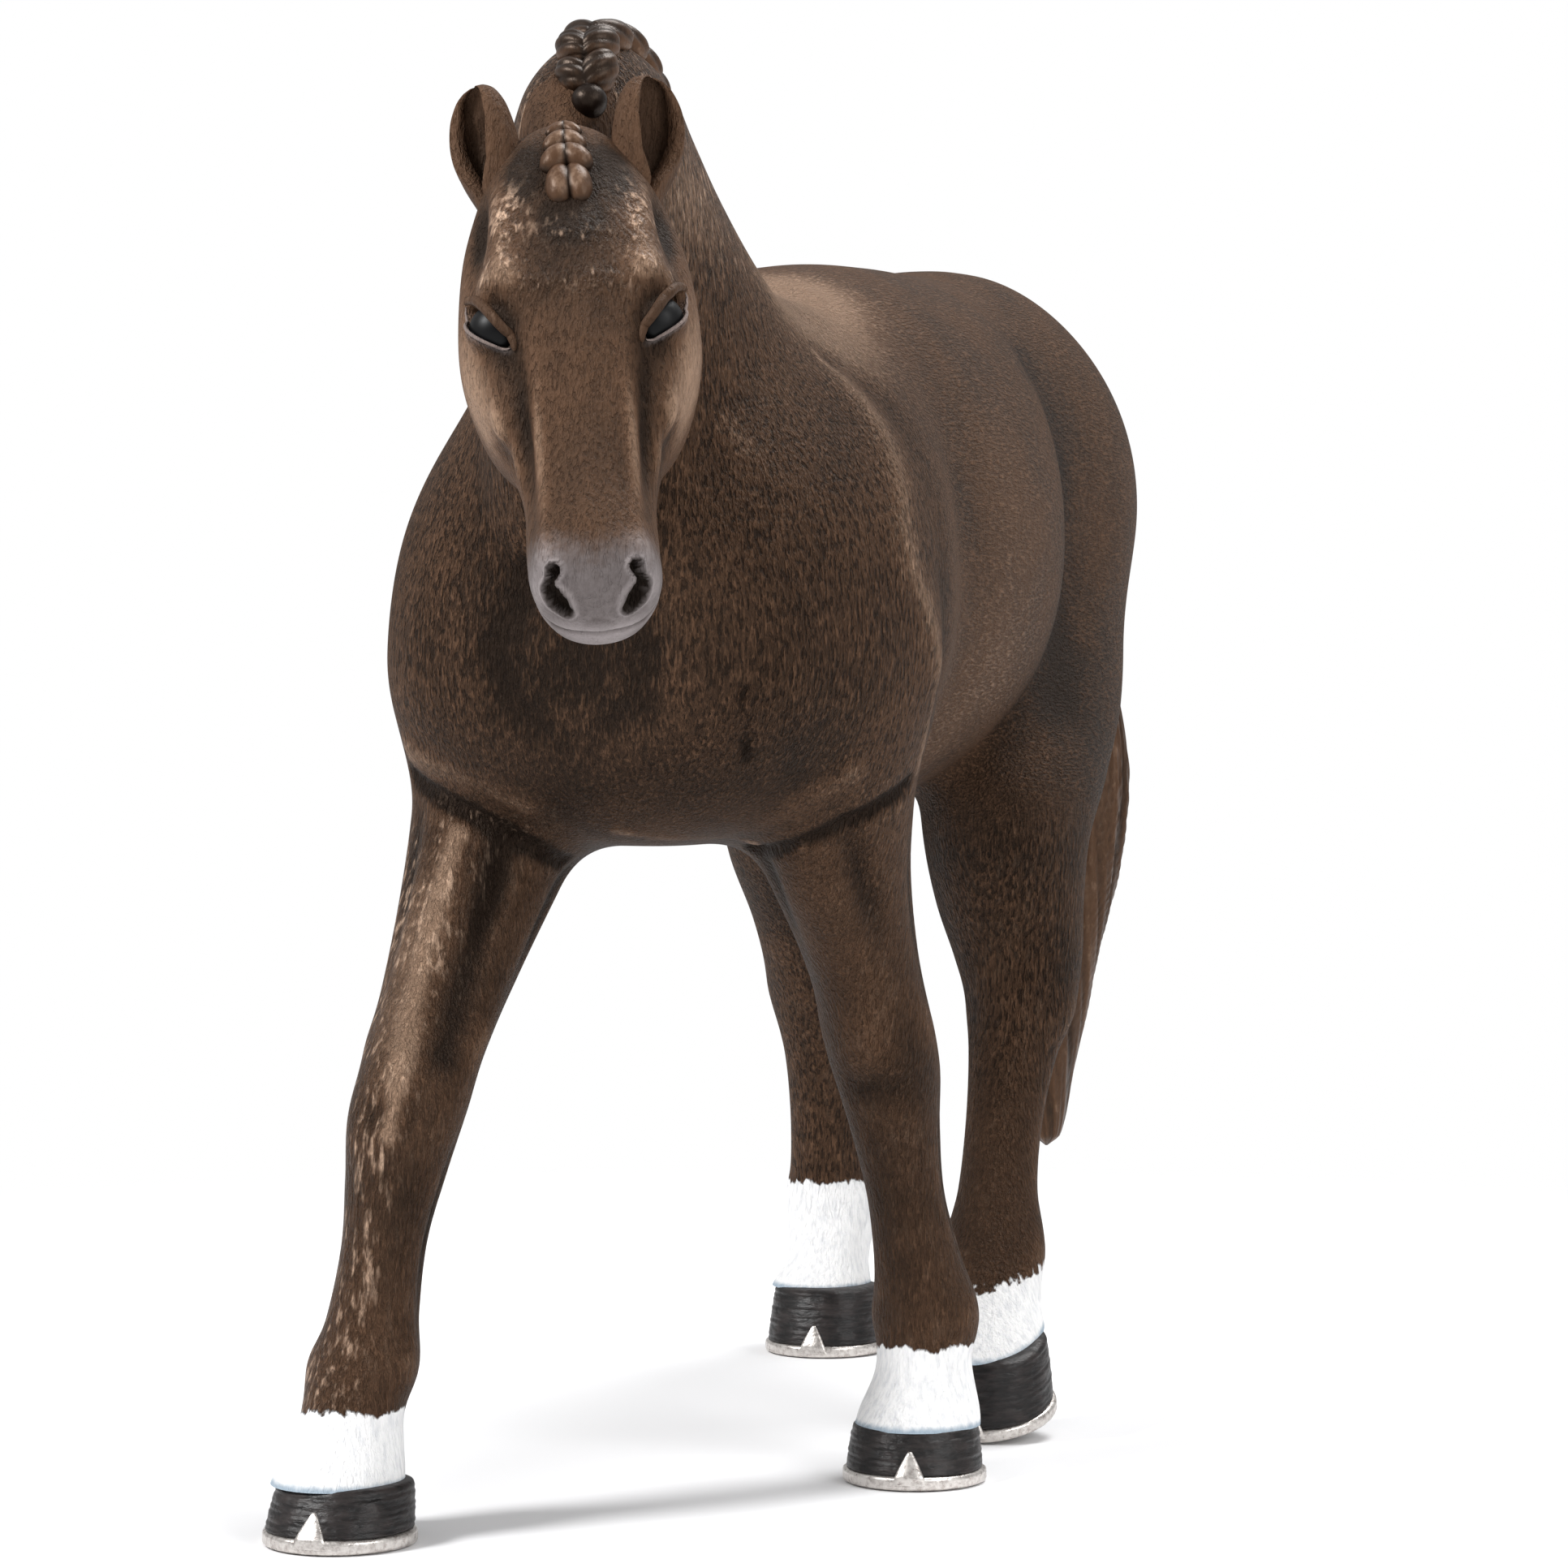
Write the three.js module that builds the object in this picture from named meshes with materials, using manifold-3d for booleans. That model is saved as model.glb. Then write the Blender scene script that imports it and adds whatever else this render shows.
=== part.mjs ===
// A toy horse with a plaited mane, standing on shod hooves, in millimetres.
// It faces -Y, its left side is +X, +Z is up and the soles of its shoes lie at z = 0.
import * as THREE from "three";
import { mergeVertices } from "three/addons/utils/BufferGeometryUtils.js";
import Module from "manifold-3d";

const wasm = await Module();
wasm.setup();

// Trunk
const TRUNK_LENGTH = 103.5; // breast to buttock
const TRUNK_HALF_WIDTH = 19; // at the shoulders
const TRUNK_HALF_DEPTH = 21; // half of withers to brisket, about
const AXIS_ABOVE_ELBOW = 8; // the line that the trunk's sections hang on, above the fore legs

// Neck and head
const NECK_LENGTH = 36.3;
const NECK_HALF_WIDTH = 14;
const NECK_HALF_DEPTH = 18;
const HEAD_LENGTH = 36.8; // poll to lip
const HEAD_HALF_WIDTH = 7.6; // at the eyes
const HEAD_DEPTH = 10.6; // head axis to the edge of the jaw
const EYE_RADIUS = 1.9;
const NOSTRIL_RADIUS = 0.75;
const MOUTH_GROOVE_DEPTH = 0.5;
const MOUTH_GROOVE_WIDTH = 0.4;
const EAR_LENGTH = 8.9;
const EAR_HALF_WIDTH = 2.7;
const EAR_DEPTH = 1.9;
const FORELOCK_HALF_WIDTH = 1.4;
const FORELOCK_HALF_DEPTH = 0.95;
const MANE_HALF_WIDTH = 1.8;
const MANE_HALF_DEPTH = 1.4;
const POLL_KNOT_RADIUS = 1.2;

// Legs
const FORELEG_HEIGHT = 60; // ground to the inside of the shoulder
const HIND_LEG_HEIGHT = 60; // ground to the inside of the thigh
const SEAM_BELOW_BELLY = 1; // the legs are bonded to the trunk just below its belly
const KNEE_WIDTH = 8;
const HOCK_WIDTH = 8;
const HOOF_HALF_WIDTH = 5;
const HOOF_TOE_REACH = 5.2; // middle of the sole to the toe
const HOOF_HEEL_REACH = 4.6; // middle of the sole to the heels
const FORE_CORONET_HEIGHT = 4;
const HIND_CORONET_HEIGHT = 5.6;
const SHOE_THICKNESS = 1.1;
const SHOE_WEB = 2.1; // width of the iron, seen from below
const HOOF_LEAN = 1.1; // the coronet lies this far behind the sole
const SHOE_OVERHANG = 0.3; // the shoe stands proud of the wall by this much
const TOE_CLIP_HEIGHT = 1.7;
const TOE_CLIP_HALF_WIDTH = 1.25;
const TOE_CLIP_THICKNESS = 0.4;
const TOE_CLIP_GAP = 0.1;
const RIGHT_FORE_SOCK_HEIGHT = 8.9;
const LEFT_FORE_SOCK_HEIGHT = 9.9;
const RIGHT_HIND_SOCK_HEIGHT = 14.8;
const LEFT_HIND_SOCK_HEIGHT = 9.6;

// Tail
const TAIL_LENGTH = 70; // dock to tip
const TAIL_HALF_WIDTH = 5;

// Joints between the mouldings
const GLUE_GAP = 0.3;
const BODY_PEG_RADIUS = 2.6;
const BODY_PEG_LENGTH = 5;
const HEAD_PEG_RADIUS = 2;
const HEAD_PEG_LENGTH = 4;
const FOOT_PEG_RADIUS = 1.3;
const FOOT_PEG_LENGTH = 1.6;
const OVERRUN = 300; // size of the cutting blocks

// Directions and angles, in degrees
const NECK_AXIS = new THREE.Vector3(0.05, -0.6, 0.8);
const HEAD_AXIS = new THREE.Vector3(0.22, -0.402, -0.889);
const HEAD_SIDE = new THREE.Vector3(0.927, 0.371, 0.062);
const NECK_SEAM_NORMAL = new THREE.Vector3(0, -0.67, 0.743);
const HEAD_SEAM_NORMAL = new THREE.Vector3(0.3, -0.95, 0.05);
const RIGHT_FORE_TOE_ANGLE = 2;
const LEFT_FORE_TOE_ANGLE = 14;
const RIGHT_HIND_TOE_ANGLE = 7;
const LEFT_HIND_HEEL_ANGLE = 18;

// Facets round each piece
const TRUNK_SIDES = 26;
const NECK_SIDES = 22;
const HEAD_SIDES = 24;
const LEG_SIDES = 14;
const HOOF_SIDES = 20;
const EAR_SIDES = 12;
const TAIL_SIDES = 14;
const PLAIT_SIDES = 12;
const BEAD_SIDES = 8;
const PEG_SIDES = 8;
const EYE_SIDES = 12;

// A section row: place along the axis, offset to the side, offset upwards, then the half sizes to
// the +side, -side, +up and -up, and the roundness power. Each entry is a share of its unit.
const TRUNK_SHARES = [
  [0, 0.079, -0.333, 0.005, 0.005, 0.005, 0.005, 2],
  [0.01, 0.079, -0.333, 0.395, 0.395, 0.429, 0.333, 2],
  [0.03, 0.074, -0.333, 0.63, 0.63, 0.667, 0.5, 2.1],
  [0.072, 0.047, -0.31, 0.838, 0.837, 0.857, 0.657, 2.2],
  [0.13, 0.021, -0.286, 0.942, 0.968, 0.952, 0.714, 2.3],
  [0.208, 0, -0.238, 0.94, 0.985, 1.048, 0.762, 2.25],
  [0.304, 0, -0.095, 0.89, 0.935, 1.086, 0.886, 2.15],
  [0.42, 0, 0.024, 0.895, 0.916, 1.071, 0.971, 2.1],
  [0.536, 0, 0.095, 0.895, 0.916, 1.043, 0.99, 2.05],
  [0.652, 0, 0.19, 0.855, 0.86, 0.971, 0.952, 2.1],
  [0.749, 0, 0.286, 0.815, 0.82, 0.935, 0.905, 2.05],
  [0.836, 0, 0.286, 0.79, 0.795, 0.92, 0.833, 2],
  [0.903, 0, 0.238, 0.715, 0.72, 0.78, 0.738, 2],
  [0.952, 0, 0.19, 0.57, 0.58, 0.61, 0.595, 2],
  [0.986, 0, 0.143, 0.368, 0.368, 0.405, 0.405, 2],
  [1, 0, 0.143, 0.005, 0.005, 0.005, 0.005, 2],
];
const NECK_SHARES = [
  [-0.275, 0, 0, 0.857, 0.857, 0.778, 0.778, 2.1],
  [0, 0.014, 0, 0.985, 0.95, 0.972, 0.972, 2.1],
  [0.193, 0.029, 0, 0.86, 0.8, 0.98, 0.925, 2.05],
  [0.386, 0.029, 0, 0.7, 0.64, 0.86, 0.796, 2],
  [0.551, 0.014, 0, 0.55, 0.52, 0.72, 0.682, 2],
  [0.689, 0, 0, 0.46, 0.44, 0.63, 0.6, 2],
  [0.813, -0.014, 0, 0.385, 0.375, 0.52, 0.515, 2],
  [0.909, -0.021, 0.044, 0.29, 0.29, 0.367, 0.405, 2],
  [0.97, -0.021, 0.067, 0.175, 0.175, 0.222, 0.272, 2],
  [1, -0.021, 0.078, 0.007, 0.007, 0.006, 0.006, 2],
];
const HEAD_SHARES = [
  [0, -0.026, 0, 0.013, 0.013, 0.009, 0.009, 2],
  [0.022, -0.026, 0, 0.368, 0.368, 0.264, 0.302, 2],
  [0.102, -0.026, 0, 0.658, 0.658, 0.453, 0.604, 2.2],
  [0.237, 0, 0, 0.908, 0.908, 0.566, 0.83, 2.3],
  [0.371, 0.013, 0, 1, 1, 0.585, 0.962, 2.3],
  [0.492, 0.013, 0, 0.987, 0.987, 0.547, 1, 2.2],
  [0.599, 0.013, 0, 0.829, 0.829, 0.491, 0.906, 2.1],
  [0.68, 0.026, 0, 0.645, 0.645, 0.462, 0.642, 2.1],
  [0.774, 0.026, 0, 0.553, 0.553, 0.453, 0.434, 2.1],
  [0.868, 0.026, 0, 0.553, 0.553, 0.472, 0.396, 2.2],
  [0.922, 0.039, 0, 0.539, 0.539, 0.443, 0.415, 2.2],
  [0.968, 0.039, 0, 0.434, 0.434, 0.34, 0.358, 2.1],
  [0.992, 0.039, 0, 0.263, 0.263, 0.208, 0.226, 2],
  [1, 0.039, 0, 0.013, 0.013, 0.009, 0.009, 2],
];
// A leg row: height, offset to the left, offset backwards, half width, front, back, roundness.
const RIGHT_FORE_SHARES = [
  [0.04, -0.075, 0.05, 0.6, 0.65, 0.6, 2],
  [0.08, -0.075, 0.16, 0.55, 0.613, 0.55, 2],
  [0.133, -0.025, 0.263, 0.45, 0.5, 0.487, 2],
  [0.192, 0.025, 0.4, 0.463, 0.463, 0.55, 2],
  [0.25, 0.075, 0.475, 0.388, 0.412, 0.487, 2],
  [0.333, 0.15, 0.562, 0.362, 0.4, 0.45, 2],
  [0.408, 0.212, 0.662, 0.425, 0.45, 0.487, 2.1],
  [0.483, 0.262, 0.812, 0.5, 0.525, 0.525, 2.2],
  [0.55, 0.312, 1.075, 0.5, 0.537, 0.575, 2.1],
  [0.633, 0.35, 1.525, 0.575, 0.65, 0.7, 2],
  [0.733, 0.4, 2.05, 0.675, 0.825, 0.9, 2],
  [0.833, 0.475, 2.487, 0.8, 1, 1.075, 2],
  [0.933, 0.512, 2.8, 0.9, 1.075, 1.15, 2],
  [1.033, 0.57, 2.95, 0.89, 1, 1.1, 2],
  [1.167, 0.7, 3.3, 0.72, 0.8, 0.9, 2],
  [1.3, 0.82, 3.8, 0.4, 0.45, 0.5, 2],
  [1.4, 0.95, 4.2, 0.05, 0.05, 0.05, 2],
];
const LEFT_FORE_SHARES = [
  [0.04, -0.012, 0.05, 0.6, 0.65, 0.6, 2],
  [0.08, -0.012, 0.18, 0.562, 0.613, 0.55, 2],
  [0.133, 0.012, 0.25, 0.45, 0.5, 0.487, 2],
  [0.208, 0.025, 0.262, 0.475, 0.475, 0.55, 2],
  [0.275, -0.038, 0.188, 0.4, 0.412, 0.487, 2],
  [0.35, -0.125, 0.125, 0.362, 0.388, 0.45, 2],
  [0.433, -0.2, 0.038, 0.412, 0.45, 0.487, 2.1],
  [0.508, -0.25, -0.087, 0.487, 0.525, 0.525, 2.2],
  [0.575, -0.3, -0.238, 0.487, 0.537, 0.562, 2.1],
  [0.65, -0.375, -0.463, 0.525, 0.625, 0.675, 2],
  [0.75, -0.462, -0.812, 0.65, 0.8, 0.85, 2],
  [0.85, -0.525, -1.137, 0.8, 0.975, 1.025, 2],
  [0.95, -0.575, -1.325, 0.9, 1.075, 1.15, 2],
  [1.05, -0.64, -1.387, 0.89, 1, 1.1, 2],
  [1.167, -0.74, -1.2, 0.72, 0.8, 0.9, 2],
  [1.3, -0.88, -0.75, 0.4, 0.45, 0.5, 2],
  [1.4, -1, -0.4, 0.05, 0.05, 0.05, 2],
];
const RIGHT_HIND_SHARES = [
  [0.04, -0.125, 0.05, 0.6, 0.65, 0.6, 2],
  [0.09, -0.125, 0.22, 0.55, 0.613, 0.55, 2],
  [0.133, -0.087, 0.33, 0.45, 0.5, 0.487, 2],
  [0.192, -0.087, 0.45, 0.487, 0.475, 0.55, 2],
  [0.267, -0.113, 0.438, 0.425, 0.438, 0.463, 2],
  [0.35, -0.113, 0.35, 0.4, 0.425, 0.45, 2],
  [0.433, -0.087, 0.225, 0.438, 0.475, 0.5, 2],
  [0.5, -0.075, 0.1, 0.512, 0.55, 0.613, 2.1],
  [0.567, -0.087, -0.075, 0.537, 0.6, 0.725, 2.1],
  [0.642, -0.1, -0.425, 0.55, 0.675, 0.7, 2],
  [0.733, -0.062, -0.825, 0.675, 0.925, 0.95, 2],
  [0.833, 0.062, -1.05, 0.825, 1.225, 1.3, 2],
  [0.95, 0.287, -0.987, 0.825, 1.45, 1.55, 2.1],
  [1.083, 0.487, -0.675, 0.875, 1.4, 1.5, 2.1],
  [1.217, 0.612, -0.55, 0.75, 1.05, 1.15, 2],
  [1.333, 0.737, -0.55, 0.45, 0.6, 0.7, 2],
  [1.417, 0.8, -0.487, 0.05, 0.05, 0.05, 2],
];
const LEFT_HIND_SHARES = [
  [0.04, -0.02, -0.3, 0.6, 0.65, 0.6, 2],
  [0.11, -0.012, 0, 0.55, 0.613, 0.55, 2],
  [0.175, -0.06, 0.28, 0.462, 0.5, 0.5, 2],
  [0.242, -0.14, 0.57, 0.487, 0.475, 0.55, 2],
  [0.308, -0.175, 0.8, 0.4, 0.438, 0.463, 2],
  [0.392, -0.2, 1.088, 0.388, 0.438, 0.475, 2],
  [0.475, -0.213, 1.4, 0.438, 0.5, 0.537, 2],
  [0.542, -0.2, 1.625, 0.512, 0.575, 0.675, 2.1],
  [0.608, -0.26, 1.725, 0.635, 0.65, 0.775, 2.1],
  [0.683, -0.34, 1.7, 0.74, 0.8, 0.875, 2],
  [0.767, -0.39, 1.75, 0.82, 1.025, 1.1, 2],
  [0.85, -0.42, 2.05, 0.9, 1.3, 1.6, 2],
  [0.95, -0.54, 2.737, 0.89, 1.45, 2.1, 2],
  [1.083, -0.7, 3.363, 0.88, 1.36, 1.95, 2],
  [1.217, -0.8, 3.8, 0.72, 1.0, 1.3, 2],
  [1.333, -0.9, 4.05, 0.45, 0.6, 0.7, 2],
  [1.417, -0.963, 4.175, 0.05, 0.05, 0.05, 2],
];
// A tail row: height above the tip, offset to the left, offset behind the buttock, half width,
// half thickness. Heights are shares of the tail's length, the rest of its half width.
const TAIL_SHARES = [
  [0, 0.72, -0.4, 0.02, 0.02],
  [0.014, 0.72, -0.36, 0.24, 0.28],
  [0.093, 0.62, -0.1, 0.48, 0.6],
  [0.207, 0.6, 0.3, 0.74, 0.76],
  [0.35, 0.76, 0.7, 0.93, 0.8],
  [0.464, 0.84, 0.9, 1, 0.76],
  [0.579, 0.72, 0.96, 0.9, 0.68],
  [0.707, 0.44, 0.8, 0.72, 0.6],
  [0.836, 0.12, 0.32, 0.58, 0.64],
  [0.921, 0, -0.5, 0.52, 0.72],
  [0.971, 0, -1.3, 0.4, 0.68],
  [1, 0, -1.8, 0.05, 0.1],
];
// An ear row: place from root to tip, half width, half depth.
const EAR_SHARES = [
  [0, 0.1, 0.1],
  [0.02, 0.55, 0.7],
  [0.25, 0.72, 0.85],
  [0.5, 1, 1],
  [0.72, 0.9, 0.85],
  [0.9, 0.5, 0.5],
  [0.98, 0.2, 0.25],
  [1, 0.02, 0.02],
];
// Soft forms raise the skin, or hollow it, alike on both sides. A row: place along the axis, to
// the side and upwards, reach in the same three directions, and height of the form.
const BODY_FORM_SHARES = [
  [0.208, 0.895, 0, 0.087, 0.316, 0.857, 0.045], // shoulder blade
  [0.353, 0.947, 0.095, 0.05, 0.3, 0.857, -0.06], // behind the shoulder blade
  [0.05, 0.68, -0.48, 0.05, 0.26, 0.3, 0.04], // point of the shoulder
  [0.015, 0.37, -0.38, 0.058, 0.263, 0.38, 0.037], // pectoral muscle
  [0.3, 0.63, -0.9, 0.058, 0.316, 0.286, -0.04], // behind the elbow
  [0.498, 0.895, -0.19, 0.135, 0.37, 0.714, 0.035], // ribs
  [0.681, 0.895, 0.286, 0.068, 0.316, 0.762, -0.08], // flank
  [0.807, 0.842, 0.476, 0.1, 0.37, 0.6, 0.045], // haunch
  [0.894, 0, 0.952, 0.135, 0.13, 0.38, -0.04], // croup
  [0.02, 0.42, 0.55, 0.08, 0.16, 0.5, -0.035], // groove along the windpipe
];
const FACE_FORM_SHARES = [
  [0.388, 0.62, 0.462, 0.06, 0.23, 0.17, 0.09], // brow
  [0.475, 0.72, 0.415, 0.075, 0.25, 0.17, -0.055], // eye socket
  [0.585, 0.58, 0.415, 0.08, 0.17, 0.19, -0.065], // below the eye
  [0.72, 0.37, 0.4, 0.16, 0.13, 0.15, 0.055], // nasal ridge
  [0.693, 0.53, 0.3, 0.11, 0.12, 0.13, -0.05], // beside the nasal ridge
  [0.635, 0.69, 0.15, 0.11, 0.13, 0.1, 0.065], // facial crest
  [0.408, 0.842, -0.33, 0.136, 0.33, 0.377, 0.06], // cheek
  [0.94, 0.39, 0.28, 0.055, 0.2, 0.19, 0.05], // nostril wing
  [0.938, 0, -0.283, 0.055, 0.33, 0.15, 0.065], // chin
  [0.245, 0.74, 0.32, 0.07, 0.16, 0.17, -0.08], // temple
];
// A nostril is a comma of round holes. A row: place down the head, to the side and to the front,
// and size of the hole.
const NOSTRIL_SHARES = [
  [0.945, 0.29, 0.365, 0.55],
  [0.96, 0.315, 0.3, 0.6],
  [0.977, 0.325, 0.235, 0.85],
];
// A plait narrows to its waist between two lobes, and a furrow runs down its middle.
const PLAIT_WAIST_SHARE = 0.68;
const PLAIT_FURROW_SHARE = 0.3;
// Where the lobes of the forelock meet, from the poll, and the size of each lobe.
const FORELOCK_WAIST_SHARES = [0.035, 0.069, 0.113, 0.168, 0.25];
const FORELOCK_LOBE_SHARES = [0.54, 0.75, 1, 0.98];
// Where the lobes of the mane meet on the crest, from the poll to the withers, and before that
// the places where its line climbs from the poll knot, along the neck, to the side and upwards.
const MANE_START_SHARES = [
  [0.972, -0.165, 0.2],
  [0.998, -0.11, 0.07],
  [0.996, -0.06, -0.08],
];
const MANE_WAIST_SHARES = [0.955, 0.885, 0.81, 0.735, 0.66, 0.585, 0.51, 0.435, 0.36];
const POLL_KNOT_SHARE = { along: 0.961, side: -0.181, lift: 0.242 };

// The breast's place ahead of the origin, as a share of the trunk's length, and the dock's height
// above the trunk's axis, of its half depth.
const BREAST_SHARE = 0.4203;
const DOCK_SHARE = 0.9286;
// A foot's place to the left, as a share of the trunk's half width, and behind, of its length.
const RIGHT_FORE_FOOT_SHARE = { left: -0.742, behind: -0.487 };
const LEFT_FORE_FOOT_SHARE = { left: 0.789, behind: -0.1343 };
const RIGHT_HIND_FOOT_SHARE = { left: -0.679, behind: 0.4386 };
const LEFT_HIND_FOOT_SHARE = { left: 0.747, behind: 0.0734 };
const NECK_ROOT_SHARE = { along: 0.169, lift: 0.19 };
const POLL_SHARE = { along: 0.923, side: -0.102, throat: 0.377 };
const EYE_SHARE = { along: 0.452, side: 0.66, front: 0.283 };
const MOUTH_SHARE = { along: 0.86, front: -0.075 };
// The head's core inside the groove of the mouth, of its half width and depth.
const MOUTH_CORE_SHARE = 0.88;
const EAR_ROOT_SHARE = { along: 0.17, side: 0.54, front: 0.066 };
const EAR_TIP_SHARE = { along: -0.048, side: 0.757, front: 0.31 };
const NECK_SEAM_SHARE = { along: 0.285, lift: 1 };
const HEAD_SEAM_SHARE = { along: 0.117, back: 0.391 };
// The hoof's size at the coronet, of its size at the sole, and the power of its round outline.
const CORONET_SHARE = 0.91;
const HOOF_ROUNDNESS_SHARE = 2.15;
// The shoe's outline from its widest place to the end of a branch: how far back and how wide.
const SHOE_BRANCH_SHARES = {
  end: 0.86,
  outerBack: [0.5, 0.8, 1],
  outerWide: [1, 0.9, 0.72],
  innerBack: [0.4, 0.7, 0.9],
  innerWide: [1, 0.95, 0.72],
};
// The hollow of an ear: where it starts and ends, how far it lies forward and how wide it is.
const EAR_HOLLOW_SHARE = { start: 0.34, end: 0.97, forward: 0.62, wide: 0.78 };
// How far the ears open to the sides, of how far they open to the front.
const EAR_OPENING_SHARE = 0.75;

const COAT = new THREE.MeshStandardMaterial({ color: "#4a372c", roughness: 0.6, metalness: 0 });
const MANE = new THREE.MeshStandardMaterial({ color: "#3b2a20", roughness: 0.45, metalness: 0 });
const WHITE = new THREE.MeshStandardMaterial({ color: "#e9e8e4", roughness: 0.55, metalness: 0 });
const BLACK = new THREE.MeshStandardMaterial({ color: "#1c1a1a", roughness: 0.5, metalness: 0 });
const SILVER = new THREE.MeshStandardMaterial({ color: "#b9b8b5", roughness: 0.3, metalness: 0.8 });
const EYE_BLACK = new THREE.MeshStandardMaterial({ color: "#0d0d10", roughness: 0.15, metalness: 0 });

// Tables
// Scales each column of a table by its unit.
function inUnits(shares, units) {
  return shares.map((row) => row.map((value, column) => value * units[column]));
}

// Reads a table at a place between its rows, each column on a smooth cubic.
function rowAt(rows, place) {
  const last = rows.length - 1;
  let i = 0;
  while (i < last - 1 && place > rows[i + 1][0]) i += 1;
  const slope = (k, column) => {
    const before = rows[Math.max(k - 1, 0)];
    const after = rows[Math.min(k + 1, last)];
    return (after[column] - before[column]) / (after[0] - before[0]);
  };
  const span = rows[i + 1][0] - rows[i][0];
  const s = THREE.MathUtils.clamp((place - rows[i][0]) / span, 0, 1);
  return rows[i].map((start, column) => {
    if (column === 0) return place;
    const end = rows[i + 1][column];
    const rise = 3 * (end - start) - span * (2 * slope(i, column) + slope(i + 1, column));
    const turn = 2 * (start - end) + span * (slope(i, column) + slope(i + 1, column));
    return start + s * (span * slope(i, column) + s * (rise + s * turn));
  });
}

// A frame for a limb: its origin, its axis, its side and the third direction, all square.
function makeFrame(origin, axis, side) {
  const along = axis.clone().normalize();
  const across = side.clone().addScaledVector(along, -side.dot(along)).normalize();
  return { origin, along, across, up: new THREE.Vector3().crossVectors(along, across) };
}

function inFrame(frame, along, across, up) {
  return frame.origin
    .clone()
    .addScaledVector(frame.along, along)
    .addScaledVector(frame.across, across)
    .addScaledVector(frame.up, up);
}

// Where a frame's axis meets a plane.
function axisOnPlane(frame, point, normal) {
  const reach = point.clone().sub(frame.origin).dot(normal) / frame.along.dot(normal);
  return inFrame(frame, reach, 0, 0);
}

// Solids
function toSolid(geometry) {
  const bare = geometry.index ? geometry.toNonIndexed() : geometry.clone();
  bare.deleteAttribute("normal");
  bare.deleteAttribute("uv");
  const merged = mergeVertices(bare);
  const vertProperties = merged.attributes.position.array;
  const triVerts = new Uint32Array(merged.index.array);
  return new wasm.Manifold(new wasm.Mesh({ numProp: 3, vertProperties, triVerts }));
}

function toMesh(name, solid, material) {
  const made = solid.getMesh();
  const geometry = new THREE.BufferGeometry();
  geometry.setAttribute("position", new THREE.BufferAttribute(new Float32Array(made.vertProperties), 3));
  geometry.setIndex(new THREE.BufferAttribute(made.triVerts, 1));
  geometry.computeVertexNormals();
  const mesh = new THREE.Mesh(geometry, material);
  mesh.name = name;
  return mesh;
}

// A closed skin over rings of points, each with the same number of points.
function skin(rings) {
  const sides = rings[0].length;
  const faces = [];
  for (let i = 0; i < rings.length - 1; i += 1) {
    for (let j = 0; j < sides; j += 1) {
      const a = i * sides + j;
      const b = i * sides + ((j + 1) % sides);
      faces.push(a, b, b + sides, a, b + sides, a + sides);
    }
  }
  const lastRing = (rings.length - 1) * sides;
  for (let j = 1; j < sides - 1; j += 1) {
    faces.push(0, j + 1, j);
    faces.push(lastRing, lastRing + j, lastRing + j + 1);
  }
  const geometry = new THREE.BufferGeometry().setFromPoints(rings.flat());
  geometry.setIndex(faces);
  return toSolid(geometry);
}

// How far soft forms raise the skin at a point: each form falls off as a bell round its place.
function riseAt(forms, point) {
  const { along, across, up, origin } = forms.frame;
  const offset = point.clone().sub(origin);
  const place = [offset.dot(along), Math.abs(offset.dot(across)), offset.dot(up)];
  return forms.rows.reduce((sum, row) => {
    const away = place.map((value, axis) => (value - row[axis]) / row[axis + 3]);
    return sum + row[6] * Math.exp(-(Math.hypot(...away) ** 2));
  }, 0);
}

// The ring of one section: a superellipse with four half sizes. Soft forms move each point along
// the ray from the middle of the section, by half of the ray at the most.
function sectionRing(frame, row, sides, forms) {
  const [place, side, lift, toSide, fromSide, above, below, power] = row;
  const middle = inFrame(frame, place, side, lift);
  return Array.from({ length: sides }, (_, j) => {
    const angle = (2 * Math.PI * j) / sides;
    const c = Math.cos(angle);
    const s = Math.sin(angle);
    const reach = (Math.abs(c) ** power + Math.abs(s) ** power) ** (-1 / power);
    const halfSide = c >= 0 ? toSide : fromSide;
    const halfUp = s >= 0 ? above : below;
    const point = inFrame(frame, place, side + reach * c * halfSide, lift + reach * s * halfUp);
    if (!forms) return point;
    const ray = point.clone().sub(middle);
    const most = ray.length() / 2;
    return point.addScaledVector(ray.normalize(), THREE.MathUtils.clamp(riseAt(forms, point), -most, most));
  });
}

// A closed loft through section rows, with rings at each row and between them. To grow makes
// the whole loft larger by that much, for the seat that takes it.
function loft(frame, rows, sides, { grow = 0, between = 2, forms = null } = {}) {
  const places = rows.slice(0, -1).flatMap((row, i) =>
    Array.from({ length: between }, (_, k) => row[0] + ((rows[i + 1][0] - row[0]) * k) / between),
  );
  places.push(rows.at(-1)[0]);
  const middle = (places[0] + places.at(-1)) / 2;
  const stretch = 1 + (2 * grow) / (places.at(-1) - places[0]);
  const rings = places.map((place) => {
    const [, side, lift, toSide, fromSide, above, below, power] = rowAt(rows, place);
    const along = middle + (place - middle) * stretch;
    const row = [along, side, lift, toSide + grow, fromSide + grow, above + grow, below + grow, power];
    return sectionRing(frame, row, sides, forms);
  });
  return skin(rings);
}

function ball(centre, radius, sides, stretch = new THREE.Vector3(1, 1, 1), turn = new THREE.Quaternion()) {
  const geometry = new THREE.SphereGeometry(radius, sides, Math.ceil(sides / 2) + 1);
  const place = new THREE.Matrix4().compose(centre, turn, stretch);
  return toSolid(geometry.applyMatrix4(place));
}

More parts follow.
